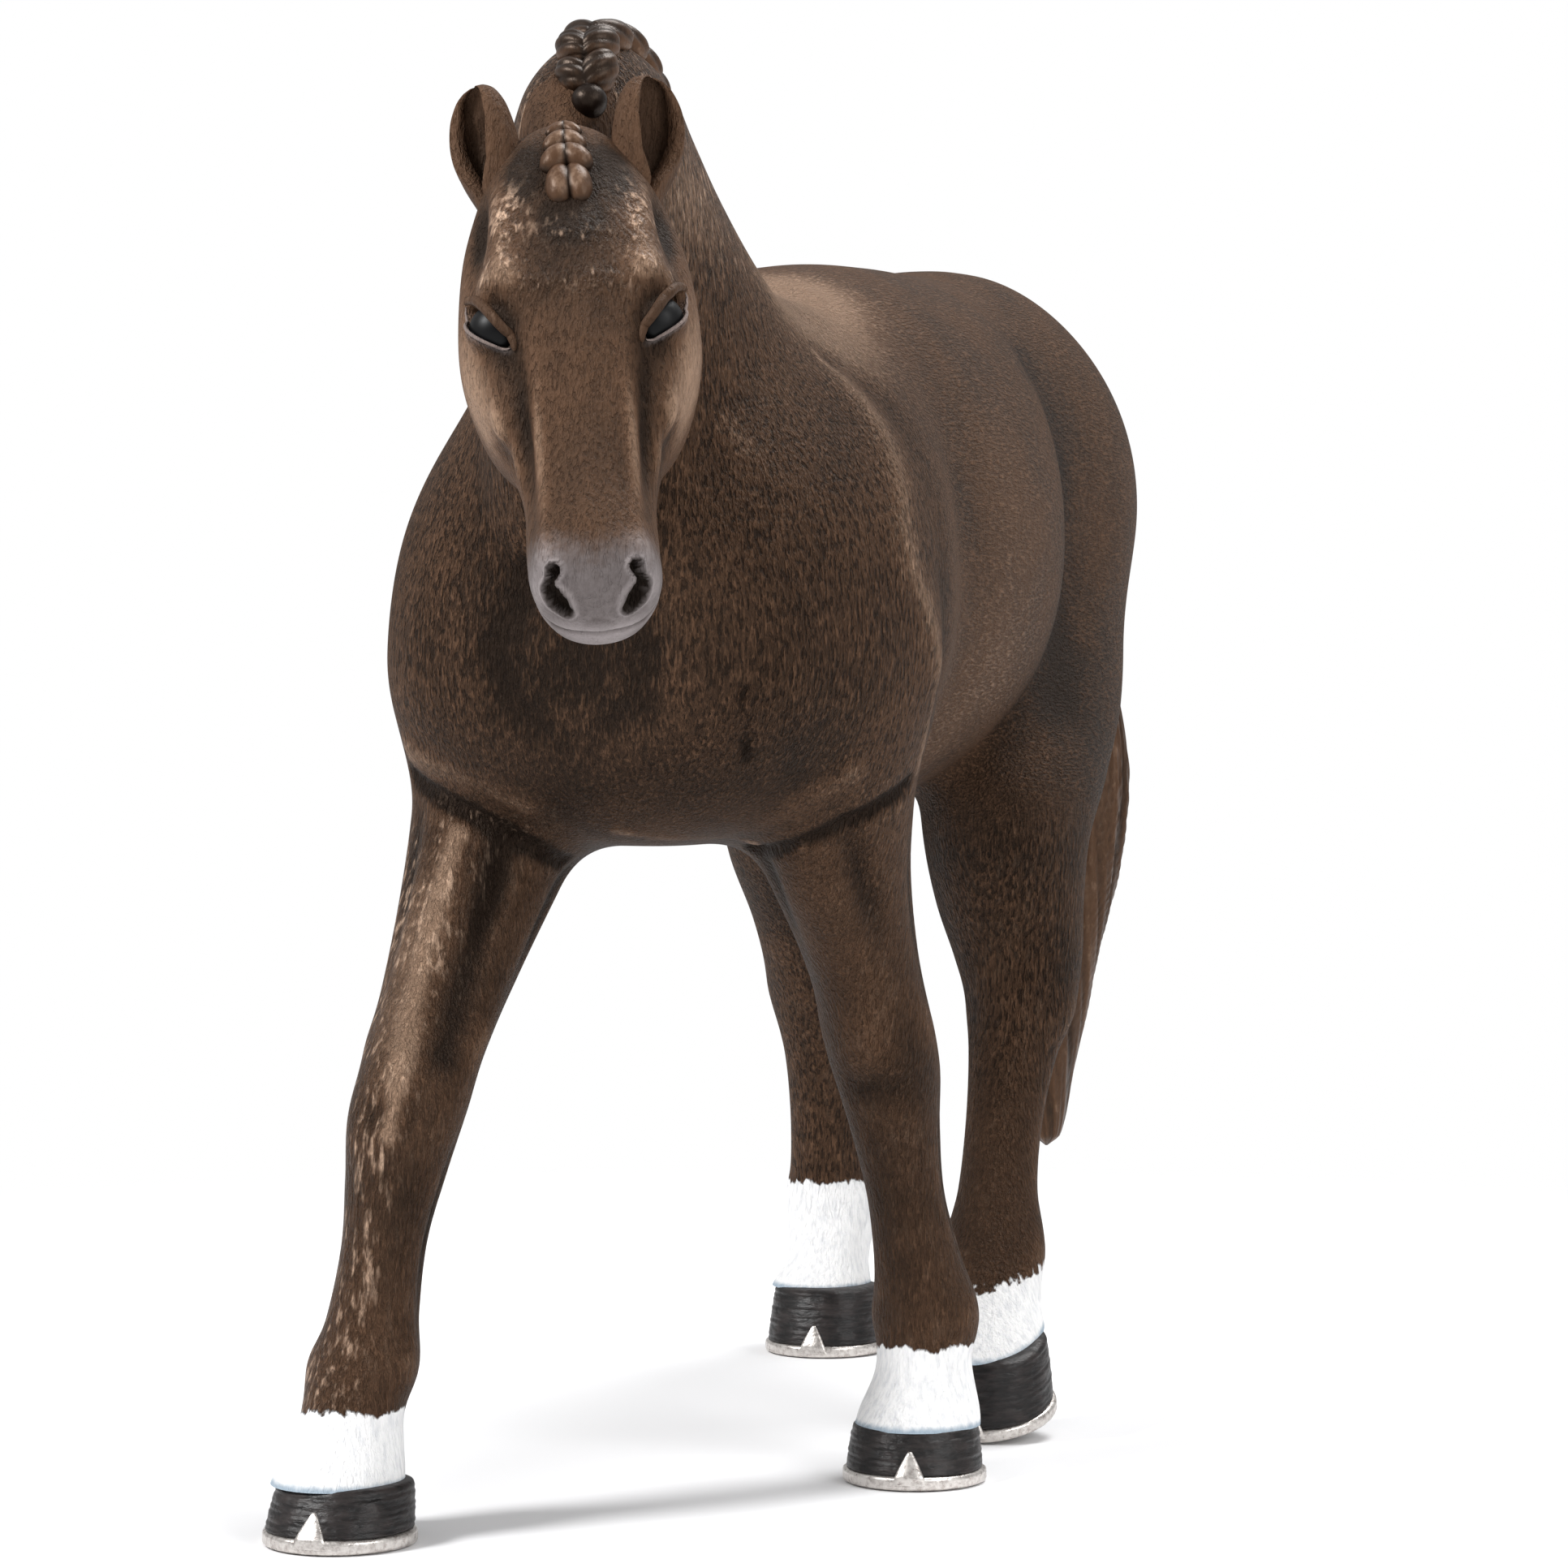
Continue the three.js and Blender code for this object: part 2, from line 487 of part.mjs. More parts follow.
function turnTo(direction) {
  const up = new THREE.Vector3(0, 0, 1);
  return new THREE.Quaternion().setFromUnitVectors(up, direction.clone().normalize());
}

// Keeps the side of a solid that lies ahead of a plane, starting a distance beyond it.
function aheadOf(solid, point, normal, distance = 0) {
  const direction = normal.clone().normalize();
  const block = new THREE.BoxGeometry(OVERRUN, OVERRUN, OVERRUN);
  block.applyQuaternion(turnTo(direction));
  const centre = point.clone().addScaledVector(direction, distance + OVERRUN / 2);
  block.translate(centre.x, centre.y, centre.z);
  return solid.intersect(toSolid(block));
}

// A round peg that starts inside one piece and reaches into the next.
function peg(point, direction, radius, length, grow = 0) {
  const whole = 2 * length + 2 * grow;
  const geometry = new THREE.CylinderGeometry(radius + grow, radius + grow, whole, PEG_SIDES);
  geometry.rotateX(Math.PI / 2);
  geometry.applyQuaternion(turnTo(direction));
  geometry.translate(point.x, point.y, point.z);
  return toSolid(geometry);
}

function joined(solids) {
  return solids.reduce((all, next) => all.add(next));
}

// Frames and tables in millimetres
const X = new THREE.Vector3(1, 0, 0);
const Y = new THREE.Vector3(0, 1, 0);
const Z = new THREE.Vector3(0, 0, 1);
const trunkAxisHeight = FORELEG_HEIGHT + AXIS_ABOVE_ELBOW;
const breastReach = BREAST_SHARE * TRUNK_LENGTH;
const legSeamHeight = trunkAxisHeight - TRUNK_HALF_DEPTH - SEAM_BELOW_BELLY;
const dockHeight = trunkAxisHeight + DOCK_SHARE * TRUNK_HALF_DEPTH;
const trunkFrame = makeFrame(new THREE.Vector3(0, -breastReach, trunkAxisHeight), Y, X.clone().negate());
const neckFrame = makeFrame(
  inFrame(trunkFrame, NECK_ROOT_SHARE.along * TRUNK_LENGTH, 0, NECK_ROOT_SHARE.lift * TRUNK_HALF_DEPTH),
  NECK_AXIS,
  X.clone().negate(),
);
const halfGap = GLUE_GAP / 2;
const poll = inFrame(
  neckFrame,
  POLL_SHARE.along * NECK_LENGTH,
  POLL_SHARE.side * NECK_HALF_WIDTH,
  POLL_SHARE.throat * NECK_HALF_DEPTH,
);
const headFrame = makeFrame(poll, HEAD_AXIS, HEAD_SIDE);

function sectionUnits(length, halfWidth, halfDepth) {
  return [length, halfWidth, halfDepth, halfWidth, halfWidth, halfDepth, halfDepth, 1];
}
const trunkRows = inUnits(TRUNK_SHARES, sectionUnits(TRUNK_LENGTH, TRUNK_HALF_WIDTH, TRUNK_HALF_DEPTH));
const neckRows = inUnits(NECK_SHARES, sectionUnits(NECK_LENGTH, NECK_HALF_WIDTH, NECK_HALF_DEPTH));
const headRows = inUnits(HEAD_SHARES, sectionUnits(HEAD_LENGTH, HEAD_HALF_WIDTH, HEAD_DEPTH));

function formsOn(frame, shares, length, halfWidth, halfDepth) {
  const reach = [length, halfWidth, halfDepth];
  return { frame, rows: inUnits(shares, [...reach, ...reach, halfWidth]) };
}
const bodyForms = formsOn(trunkFrame, BODY_FORM_SHARES, TRUNK_LENGTH, TRUNK_HALF_WIDTH, TRUNK_HALF_DEPTH);
const faceForms = formsOn(headFrame, FACE_FORM_SHARES, HEAD_LENGTH, HEAD_HALF_WIDTH, HEAD_DEPTH);

function onHead(share, side = 1) {
  return inFrame(
    headFrame,
    share.along * HEAD_LENGTH,
    side * share.side * HEAD_HALF_WIDTH,
    share.front * HEAD_DEPTH,
  );
}

// Legs
// A leg is a loft of level sections that leans and bends as its rows say.
function legSolid(shares, foot, height, width) {
  const units = [height, width, width, width, width, width, 1];
  const rows = inUnits(shares, units).map(([z, left, behind, half, front, back, power]) => [
    z,
    foot.x + left,
    foot.y + behind,
    half,
    half,
    back,
    front,
    power,
  ]);
  const frame = makeFrame(new THREE.Vector3(), Z, X);
  return { rows, solid: loft(frame, rows, LEG_SIDES, { forms: bodyForms }) };
}

// Where the middle line of a leg meets a plane.
function middleOnPlane(rows, point, normal) {
  const middle = point.clone();
  for (let step = 0; step < 12; step += 1) {
    const row = rowAt(rows, middle.z);
    middle.set(row[1], row[2], middle.z);
    middle.z -= middle.clone().sub(point).dot(normal) / normal.z;
  }
  return middle;
}

// The frame of a foot: toes turned out, and the heel lifted about the shoe's toe.
function footFrame(foot, toeOut, heelLift) {
  const edge = HOOF_TOE_REACH + SHOE_OVERHANG;
  const turn = new THREE.Matrix4().makeRotationZ(THREE.MathUtils.degToRad(toeOut));
  const toe = new THREE.Matrix4().makeTranslation(0, -edge, 0);
  const lift = new THREE.Matrix4().makeRotationX(THREE.MathUtils.degToRad(heelLift));
  const back = new THREE.Matrix4().makeTranslation(0, edge, 0);
  return new THREE.Matrix4()
    .makeTranslation(foot.x, foot.y, 0)
    .multiply(turn)
    .multiply(toe)
    .multiply(lift)
    .multiply(back);
}

// The wall of the hoof leans back as it rises to the coronet.
function hoofSolid(coronetHeight) {
  const bottom = SHOE_THICKNESS + GLUE_GAP;
  const top = coronetHeight - GLUE_GAP / 2;
  const ring = (z, back, size) => [
    z,
    0,
    back,
    size * HOOF_HALF_WIDTH,
    size * HOOF_HALF_WIDTH,
    size * HOOF_HEEL_REACH,
    size * HOOF_TOE_REACH,
    HOOF_ROUNDNESS_SHARE,
  ];
  const rows = [ring(bottom, 0, 1), ring(top, HOOF_LEAN, CORONET_SHARE)];
  return loft(makeFrame(new THREE.Vector3(), Z, X), rows, HOOF_SIDES);
}

// One edge of the iron: half an ellipse round the toe, and the two branches to the heels.
function shoeEdge(inset, backShares, wideShares) {
  const half = HOOF_HALF_WIDTH + SHOE_OVERHANG - inset;
  const toe = HOOF_TOE_REACH + SHOE_OVERHANG - inset;
  const heel = SHOE_BRANCH_SHARES.end * HOOF_HEEL_REACH;
  const branch = backShares.map((back, i) => new THREE.Vector2(wideShares[i] * half, back * heel));
  return { half, toe, branch, mirrored: branch.map((point) => new THREE.Vector2(-point.x, point.y)) };
}

// The iron: a horseshoe bar with a low triangular clip that holds the toe.
function shoeSolid(coronetHeight) {
  const outer = shoeEdge(0, SHOE_BRANCH_SHARES.outerBack, SHOE_BRANCH_SHARES.outerWide);
  const inner = shoeEdge(SHOE_WEB, SHOE_BRANCH_SHARES.innerBack, SHOE_BRANCH_SHARES.innerWide);
  const curve = (a, b, end) => shape.bezierCurveTo(a.x, a.y, b.x, b.y, end.x, end.y);
  const shape = new THREE.Shape();
  shape.absellipse(0, 0, outer.half, outer.toe, Math.PI, 2 * Math.PI, false, 0);
  curve(...outer.branch);
  shape.lineTo(inner.branch[2].x, inner.branch[2].y);
  curve(inner.branch[1], inner.branch[0], new THREE.Vector2(inner.half, 0));
  shape.absellipse(0, 0, inner.half, inner.toe, 0, -Math.PI, true, 0);
  curve(...inner.mirrored);
  shape.lineTo(outer.mirrored[2].x, outer.mirrored[2].y);
  curve(outer.mirrored[1], outer.mirrored[0], new THREE.Vector2(-outer.half, 0));
  const bar = toSolid(
    new THREE.ExtrudeGeometry(shape, { depth: SHOE_THICKNESS, bevelEnabled: false, curveSegments: 6 }),
  );
  const triangle = new THREE.Shape();
  triangle.moveTo(-TOE_CLIP_HALF_WIDTH, -SHOE_THICKNESS / 2);
  triangle.lineTo(TOE_CLIP_HALF_WIDTH, -SHOE_THICKNESS / 2);
  triangle.lineTo(0, TOE_CLIP_HEIGHT);
  const clip = new THREE.ExtrudeGeometry(triangle, { depth: TOE_CLIP_THICKNESS, bevelEnabled: false });
  const setBack = HOOF_LEAN + (1 - CORONET_SHARE) * HOOF_TOE_REACH;
  clip.rotateX(Math.PI / 2 - Math.atan2(setBack, coronetHeight - SHOE_THICKNESS));
  clip.translate(0, -HOOF_TOE_REACH - TOE_CLIP_GAP, SHOE_THICKNESS);
  return bar.add(toSolid(clip));
}

// The pieces of a leg, from the stub on the trunk down to the shoe. A straight peg bonds each
// to the next, and its seat is larger by the gap.
function legPieces(leg) {
  const { rows, solid } = legSolid(leg.shares, leg.foot, leg.height, leg.width);
  const frame = footFrame(leg.foot, leg.toeOut, leg.heelLift);
  const down = Z.clone().negate();
  const soleNormal = Z.clone().transformDirection(frame);
  const inFoot = (z) => new THREE.Vector3(0, 0, z).applyMatrix4(frame);
  const hip = middleOnPlane(rows, new THREE.Vector3(0, 0, legSeamHeight), Z);
  const sockTop = inFoot(leg.sockHeight);
  const ankle = middleOnPlane(rows, sockTop, soleNormal);
  const coronet = inFoot(leg.coronetHeight);
  const heart = middleOnPlane(rows, coronet, soleNormal);

  const stub = aheadOf(solid, hip, Z, halfGap);
  const hipPeg = (grow) => peg(hip, Z, BODY_PEG_RADIUS, BODY_PEG_LENGTH, grow);
  const anklePeg = (grow) => peg(ankle, soleNormal, FOOT_PEG_RADIUS, FOOT_PEG_LENGTH, grow);
  const heartPeg = (grow) => peg(heart, soleNormal, FOOT_PEG_RADIUS, FOOT_PEG_LENGTH, grow);
  const shank = aheadOf(aheadOf(solid, hip, down, halfGap), sockTop, soleNormal, halfGap);
  const belowShank = aheadOf(solid, sockTop, soleNormal.clone().negate(), halfGap);
  const sock = aheadOf(belowShank, coronet, soleNormal, halfGap);
  const placed = (part) => part.transform(frame.elements);
  return {
    stub,
    socket: hipPeg(GLUE_GAP),
    leg: shank.add(hipPeg(0)).add(anklePeg(0)),
    sock: sock.subtract(anklePeg(GLUE_GAP)).add(heartPeg(0)),
    hoof: placed(hoofSolid(leg.coronetHeight)).subtract(heartPeg(GLUE_GAP)),
    shoe: placed(shoeSolid(leg.coronetHeight)),
  };
}

// Ears, eyes and plaits
function earParts(side, grow = 0) {
  const root = onHead(EAR_ROOT_SHARE, side);
  const axis = onHead(EAR_TIP_SHARE, side).sub(root);
  const opening = headFrame.up.clone().addScaledVector(headFrame.across, side * EAR_OPENING_SHARE);
  const frame = makeFrame(root, axis, opening);
  const rows = EAR_SHARES.map(([along, width, depth]) => [
    along * EAR_LENGTH,
    0,
    0,
    depth * EAR_DEPTH,
    depth * EAR_DEPTH,
    width * EAR_HALF_WIDTH,
    width * EAR_HALF_WIDTH,
    2,
  ]);
  return { frame, shell: loft(frame, rows, EAR_SIDES, { grow, between: 1 }), rows };
}

// A cupped shell: the leaf shape with a smaller leaf taken out of its open side.
function earSolid(side) {
  const { frame, shell, rows } = earParts(side);
  const { start, end, forward, wide } = EAR_HOLLOW_SHARE;
  const hollow = rows.map(([along, , , depth, , width, , power]) => [
    EAR_LENGTH * start + along * (end - start),
    EAR_DEPTH * forward,
    0,
    depth,
    depth,
    width * wide,
    width * wide,
    power,
  ]);
  return shell.subtract(loft(frame, hollow, EAR_SIDES, { between: 1 }));
}

// A plait along a line whose points are the waists between its lobes: rings at each waist and
// at the middle of each lobe, with a furrow along the top.
function plait(waists, across, halfWidth, halfDepth, lobeShares, grow) {
  const line = new THREE.CatmullRomCurve3(waists);
  const lobes = lobeShares.length;
  const rings = Array.from({ length: 2 * lobes + 1 }, (_, i) => {
    const before = lobeShares[Math.max(Math.ceil(i / 2) - 1, 0)];
    const after = lobeShares[Math.min(Math.floor(i / 2), lobes - 1)];
    const size = i % 2 === 1 ? after : PLAIT_WAIST_SHARE * Math.min(before, after);
    const place = i / (2 * lobes);
    const ahead = line.getTangent(place);
    const frame = makeFrame(line.getPoint(place), ahead, across);
    return Array.from({ length: PLAIT_SIDES }, (_, j) => {
      const angle = (2 * Math.PI * j) / PLAIT_SIDES;
      const furrow = 1 - PLAIT_FURROW_SHARE * Math.max(Math.sin(angle), 0) ** PLAIT_SIDES;
      const wide = (size * halfWidth + grow) * Math.cos(angle);
      const high = (size * halfDepth * furrow + grow) * Math.sin(angle);
      return inFrame(frame, 0, wide, high);
    });
  });
  return skin(rings);
}

// The forelock is plaited down the forehead.
function forelock(grow = 0) {
  const waists = FORELOCK_WAIST_SHARES.map((along) => {
    const row = rowAt(headRows, along * HEAD_LENGTH);
    return inFrame(headFrame, along * HEAD_LENGTH, row[1], row[2] + row[5]);
  });
  return plait(waists, headFrame.across, FORELOCK_HALF_WIDTH, FORELOCK_HALF_DEPTH, FORELOCK_LOBE_SHARES, grow);
}

// The mane is plaited from a round knot at the poll over the crest and down to the withers.
function manePlait(grow = 0) {
  const knot = inFrame(
    neckFrame,
    POLL_KNOT_SHARE.along * NECK_LENGTH,
    POLL_KNOT_SHARE.side * NECK_HALF_WIDTH,
    POLL_KNOT_SHARE.lift * NECK_HALF_DEPTH,
  );
  const start = MANE_START_SHARES.map(([along, side, lift]) =>
    inFrame(neckFrame, along * NECK_LENGTH, side * NECK_HALF_WIDTH, lift * NECK_HALF_DEPTH),
  );
  const crest = MANE_WAIST_SHARES.map((along) => {
    const row = rowAt(neckRows, along * NECK_LENGTH);
    return inFrame(neckFrame, along * NECK_LENGTH, row[1], row[2] - row[6]);
  });
  const waists = [...start, ...crest];
  const lobeShares = waists.slice(1).map(() => 1);
  const run = plait(waists, neckFrame.across, MANE_HALF_WIDTH, MANE_HALF_DEPTH, lobeShares, grow);
  return run.add(ball(knot, POLL_KNOT_RADIUS + grow, BEAD_SIDES));
}

function eye(side, grow = 0) {
  return ball(onHead(EYE_SHARE, side), EYE_RADIUS + grow, EYE_SIDES);
}

function nostril(side) {
  const holes = NOSTRIL_SHARES.map(([along, across, front, size]) =>
    ball(onHead({ along, side: across, front }, side), size * NOSTRIL_RADIUS, BEAD_SIDES),
  );
  return joined(holes);
}

// The groove between the lips: a thin slot round a smaller core of the head.
function mouth() {
  const length = (1 - MOUTH_SHARE.along) * HEAD_LENGTH + MOUTH_GROOVE_DEPTH;
  const middle = MOUTH_SHARE.along * HEAD_LENGTH + length / 2;
  const slot = new THREE.BoxGeometry(length, 2 * HEAD_HALF_WIDTH, MOUTH_GROOVE_WIDTH);
  const turn = new THREE.Matrix4().makeBasis(headFrame.along, headFrame.across, headFrame.up);
  slot.applyMatrix4(turn.setPosition(inFrame(headFrame, middle, 0, MOUTH_SHARE.front * HEAD_DEPTH)));
  const units = sectionUnits(
    HEAD_LENGTH - MOUTH_GROOVE_DEPTH,
    MOUTH_CORE_SHARE * HEAD_HALF_WIDTH,
    MOUTH_CORE_SHARE * HEAD_DEPTH,
  );
  return toSolid(slot).subtract(loft(headFrame, inUnits(HEAD_SHARES, units), HEAD_SIDES));
}

function tail(grow = 0) {
  const buttock = TRUNK_LENGTH - breastReach;
  const rows = TAIL_SHARES.map(([height, left, behind, half, thick]) => [
    dockHeight + (height - 1) * TAIL_LENGTH,
    left * TAIL_HALF_WIDTH,
    buttock + behind * TAIL_HALF_WIDTH,
    half * TAIL_HALF_WIDTH,
    half * TAIL_HALF_WIDTH,
    thick * TAIL_HALF_WIDTH,
    thick * TAIL_HALF_WIDTH,
    2,
  ]);
  return loft(makeFrame(new THREE.Vector3(), Z, X), rows, TAIL_SIDES, { grow, between: 1 });
}

// Assembly
function footAt(share) {
  return new THREE.Vector2(share.left * TRUNK_HALF_WIDTH, share.behind * TRUNK_LENGTH);
}

const legs = [
  {
    name: "right_fore",
    shares: RIGHT_FORE_SHARES,
    foot: footAt(RIGHT_FORE_FOOT_SHARE),
    height: FORELEG_HEIGHT,
    width: KNEE_WIDTH,
    toeOut: RIGHT_FORE_TOE_ANGLE,
    heelLift: 0,
    sockHeight: RIGHT_FORE_SOCK_HEIGHT,
    coronetHeight: FORE_CORONET_HEIGHT,
  },
  {
    name: "left_fore",
    shares: LEFT_FORE_SHARES,
    foot: footAt(LEFT_FORE_FOOT_SHARE),
    height: FORELEG_HEIGHT,
    width: KNEE_WIDTH,
    toeOut: LEFT_FORE_TOE_ANGLE,
    heelLift: 0,
    sockHeight: LEFT_FORE_SOCK_HEIGHT,
    coronetHeight: FORE_CORONET_HEIGHT,
  },
  {
    name: "right_hind",
    shares: RIGHT_HIND_SHARES,
    foot: footAt(RIGHT_HIND_FOOT_SHARE),
    height: HIND_LEG_HEIGHT,
    width: HOCK_WIDTH,
    toeOut: RIGHT_HIND_TOE_ANGLE,
    heelLift: 0,
    sockHeight: RIGHT_HIND_SOCK_HEIGHT,
    coronetHeight: HIND_CORONET_HEIGHT,
  },
  {
    name: "left_hind",
    shares: LEFT_HIND_SHARES,
    foot: footAt(LEFT_HIND_FOOT_SHARE),
    height: HIND_LEG_HEIGHT,
    width: HOCK_WIDTH,
    toeOut: 0,
    heelLift: LEFT_HIND_HEEL_ANGLE,
    sockHeight: LEFT_HIND_SOCK_HEIGHT,
    coronetHeight: HIND_CORONET_HEIGHT,
  },
];
const madeLegs = legs.map((leg) => ({ name: leg.name, ...legPieces(leg) }));

const neckSeam = inFrame(
  trunkFrame,
  NECK_SEAM_SHARE.along * TRUNK_LENGTH,
  0,
  NECK_SEAM_SHARE.lift * TRUNK_HALF_DEPTH,
);
const headSeam = inFrame(headFrame, HEAD_SEAM_SHARE.along * HEAD_LENGTH, 0, -HEAD_SEAM_SHARE.back * HEAD_DEPTH);
const neckPegPoint = axisOnPlane(neckFrame, neckSeam, NECK_SEAM_NORMAL);
const neckPeg = (grow) => peg(neckPegPoint, NECK_AXIS, BODY_PEG_RADIUS, BODY_PEG_LENGTH, grow);
const headPeg = (grow) => peg(headSeam, HEAD_SEAM_NORMAL, HEAD_PEG_RADIUS, HEAD_PEG_LENGTH, grow);

const bareTrunk = loft(trunkFrame, trunkRows, TRUNK_SIDES, { forms: bodyForms });
const bareNeck = loft(neckFrame, neckRows, NECK_SIDES, { forms: bodyForms });
const bareHead = loft(headFrame, headRows, HEAD_SIDES, { forms: faceForms });
const body = joined([bareTrunk, bareNeck, ...madeLegs.map((leg) => leg.stub)]);
const front = bareHead.add(bareNeck);
const away = (normal) => normal.clone().negate();
const cutBy = (solid, cuts) => cuts.reduce((rest, cut) => rest.subtract(cut), solid);

const trunkSolid = cutBy(aheadOf(body, neckSeam, away(NECK_SEAM_NORMAL), halfGap), [
  tail(GLUE_GAP),
  neckPeg(GLUE_GAP),
  manePlait(GLUE_GAP),
  ...madeLegs.map((leg) => leg.socket),
]);
const neckRaw = aheadOf(
  aheadOf(body, neckSeam, NECK_SEAM_NORMAL, halfGap),
  headSeam,
  away(HEAD_SEAM_NORMAL),
  halfGap,
);
const neckSolid = cutBy(neckRaw.add(neckPeg(0)), [manePlait(GLUE_GAP), headPeg(GLUE_GAP)]);
const headRaw = aheadOf(front, headSeam, HEAD_SEAM_NORMAL, halfGap);
const headSolid = cutBy(headRaw.add(headPeg(0)), [
  eye(1, GLUE_GAP),
  eye(-1, GLUE_GAP),
  nostril(1),
  nostril(-1),
  mouth(),
  earParts(1, GLUE_GAP).shell,
  earParts(-1, GLUE_GAP).shell,
  forelock(GLUE_GAP),
  manePlait(GLUE_GAP),
]);

const horse = new THREE.Group();
horse.add(toMesh("trunk", trunkSolid, COAT));
horse.add(toMesh("neck", neckSolid, COAT));
horse.add(toMesh("head", headSolid, COAT));
horse.add(toMesh("left_ear", earSolid(1), COAT));
horse.add(toMesh("right_ear", earSolid(-1), COAT));
horse.add(toMesh("left_eye", eye(1), EYE_BLACK));
horse.add(toMesh("right_eye", eye(-1), EYE_BLACK));
horse.add(toMesh("forelock_plait", forelock(), MANE));
horse.add(toMesh("mane_plait", manePlait(), MANE));
horse.add(toMesh("tail", tail(), MANE));
for (const leg of madeLegs) {
  horse.add(toMesh(leg.name + "_leg", leg.leg, COAT));
  horse.add(toMesh(leg.name + "_sock", leg.sock, WHITE));
  horse.add(toMesh(leg.name + "_hoof", leg.hoof, BLACK));
  horse.add(toMesh(leg.name + "_shoe", leg.shoe, SILVER));
}

// The origin is on the ground, under the middle of the horse.
const box = new THREE.Box3().setFromObject(horse);
horse.position.set(-(box.min.x + box.max.x) / 2, -(box.min.y + box.max.y) / 2, -box.min.z);

export default horse;
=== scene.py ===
"""The look of a plaited toy horse, laid out as an add-on.

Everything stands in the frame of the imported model: +Y from head to tail, +X to the horse's left,
+Z up. Sizes are held in metres and worked in millimetres. The tables give the body's sections as
shares of those sizes, and the coat is the smooth union of the lofts through them.
"""

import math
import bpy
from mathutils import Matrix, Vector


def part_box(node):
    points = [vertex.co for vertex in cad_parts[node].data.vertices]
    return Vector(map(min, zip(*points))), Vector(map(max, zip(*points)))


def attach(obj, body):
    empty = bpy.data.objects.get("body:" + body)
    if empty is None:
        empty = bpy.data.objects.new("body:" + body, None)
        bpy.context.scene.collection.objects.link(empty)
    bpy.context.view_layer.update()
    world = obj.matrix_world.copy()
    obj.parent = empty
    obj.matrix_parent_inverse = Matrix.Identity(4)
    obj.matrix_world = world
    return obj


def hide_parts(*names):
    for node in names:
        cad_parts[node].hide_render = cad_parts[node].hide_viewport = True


bl_info = {
    "name": "Plaited Toy Horse",
    "version": (1, 0, 0),
    "blender": (4, 5, 0),
    "location": "View3D > Sidebar > Toy Horse",
    "description": "Builds the coat, feet, ears, eyes, plaits, tail and stage of a toy horse",
    "category": "Add Mesh",
}

import bmesh
import bpy
import numpy as np
from mathutils import Matrix, Vector

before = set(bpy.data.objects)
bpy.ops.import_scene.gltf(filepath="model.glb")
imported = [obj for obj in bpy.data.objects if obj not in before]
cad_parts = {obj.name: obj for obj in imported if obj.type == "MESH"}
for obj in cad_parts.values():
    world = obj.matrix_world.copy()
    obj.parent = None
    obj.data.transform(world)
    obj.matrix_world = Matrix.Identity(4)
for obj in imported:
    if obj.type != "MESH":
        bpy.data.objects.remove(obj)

# A section row: place along the axis, offset to the side, offset upwards, half sizes to the
# +side, -side, +up and -up, roundness power, each a share of its unit.
TRUNK_SHARES = [
    [0, 0.079, -0.333, 0.005, 0.005, 0.005, 0.005, 2],
    [0.01, 0.079, -0.333, 0.395, 0.395, 0.429, 0.333, 2],
    [0.03, 0.074, -0.333, 0.63, 0.63, 0.667, 0.5, 2.1],
    [0.072, 0.047, -0.31, 0.838, 0.837, 0.857, 0.657, 2.2],
    [0.13, 0.021, -0.286, 0.942, 0.968, 0.952, 0.714, 2.3],
    [0.208, 0, -0.238, 0.94, 0.985, 1.048, 0.762, 2.25],
    [0.304, 0, -0.095, 0.89, 0.935, 1.086, 0.886, 2.15],
    [0.42, 0, 0.024, 0.895, 0.916, 1.071, 0.971, 2.1],
    [0.536, 0, 0.095, 0.895, 0.916, 1.043, 0.99, 2.05],
    [0.652, 0, 0.19, 0.855, 0.86, 0.971, 0.952, 2.1],
    [0.749, 0, 0.286, 0.815, 0.82, 0.935, 0.905, 2.05],
    [0.836, 0, 0.286, 0.79, 0.795, 0.92, 0.833, 2],
    [0.903, 0, 0.238, 0.715, 0.72, 0.78, 0.738, 2],
    [0.952, 0, 0.19, 0.57, 0.58, 0.61, 0.595, 2],
    [0.986, 0, 0.143, 0.368, 0.368, 0.405, 0.405, 2],
    [1, 0, 0.143, 0.005, 0.005, 0.005, 0.005, 2],
]

NECK_SHARES = [
    [-0.275, 0, 0, 0.857, 0.857, 0.778, 0.778, 2.1],
    [0, 0.014, 0, 0.985, 0.95, 0.972, 0.972, 2.1],
    [0.193, 0.029, 0, 0.86, 0.8, 0.98, 0.925, 2.05],
    [0.386, 0.029, 0, 0.7, 0.64, 0.86, 0.796, 2],
    [0.551, 0.014, 0, 0.55, 0.52, 0.72, 0.682, 2],
    [0.689, 0, 0, 0.46, 0.44, 0.63, 0.6, 2],
    [0.813, -0.014, 0, 0.385, 0.375, 0.52, 0.515, 2],
    [0.909, -0.021, 0.044, 0.29, 0.29, 0.367, 0.405, 2],
    [0.97, -0.021, 0.067, 0.175, 0.175, 0.222, 0.272, 2],
    [1, -0.021, 0.078, 0.007, 0.007, 0.006, 0.006, 2],
]

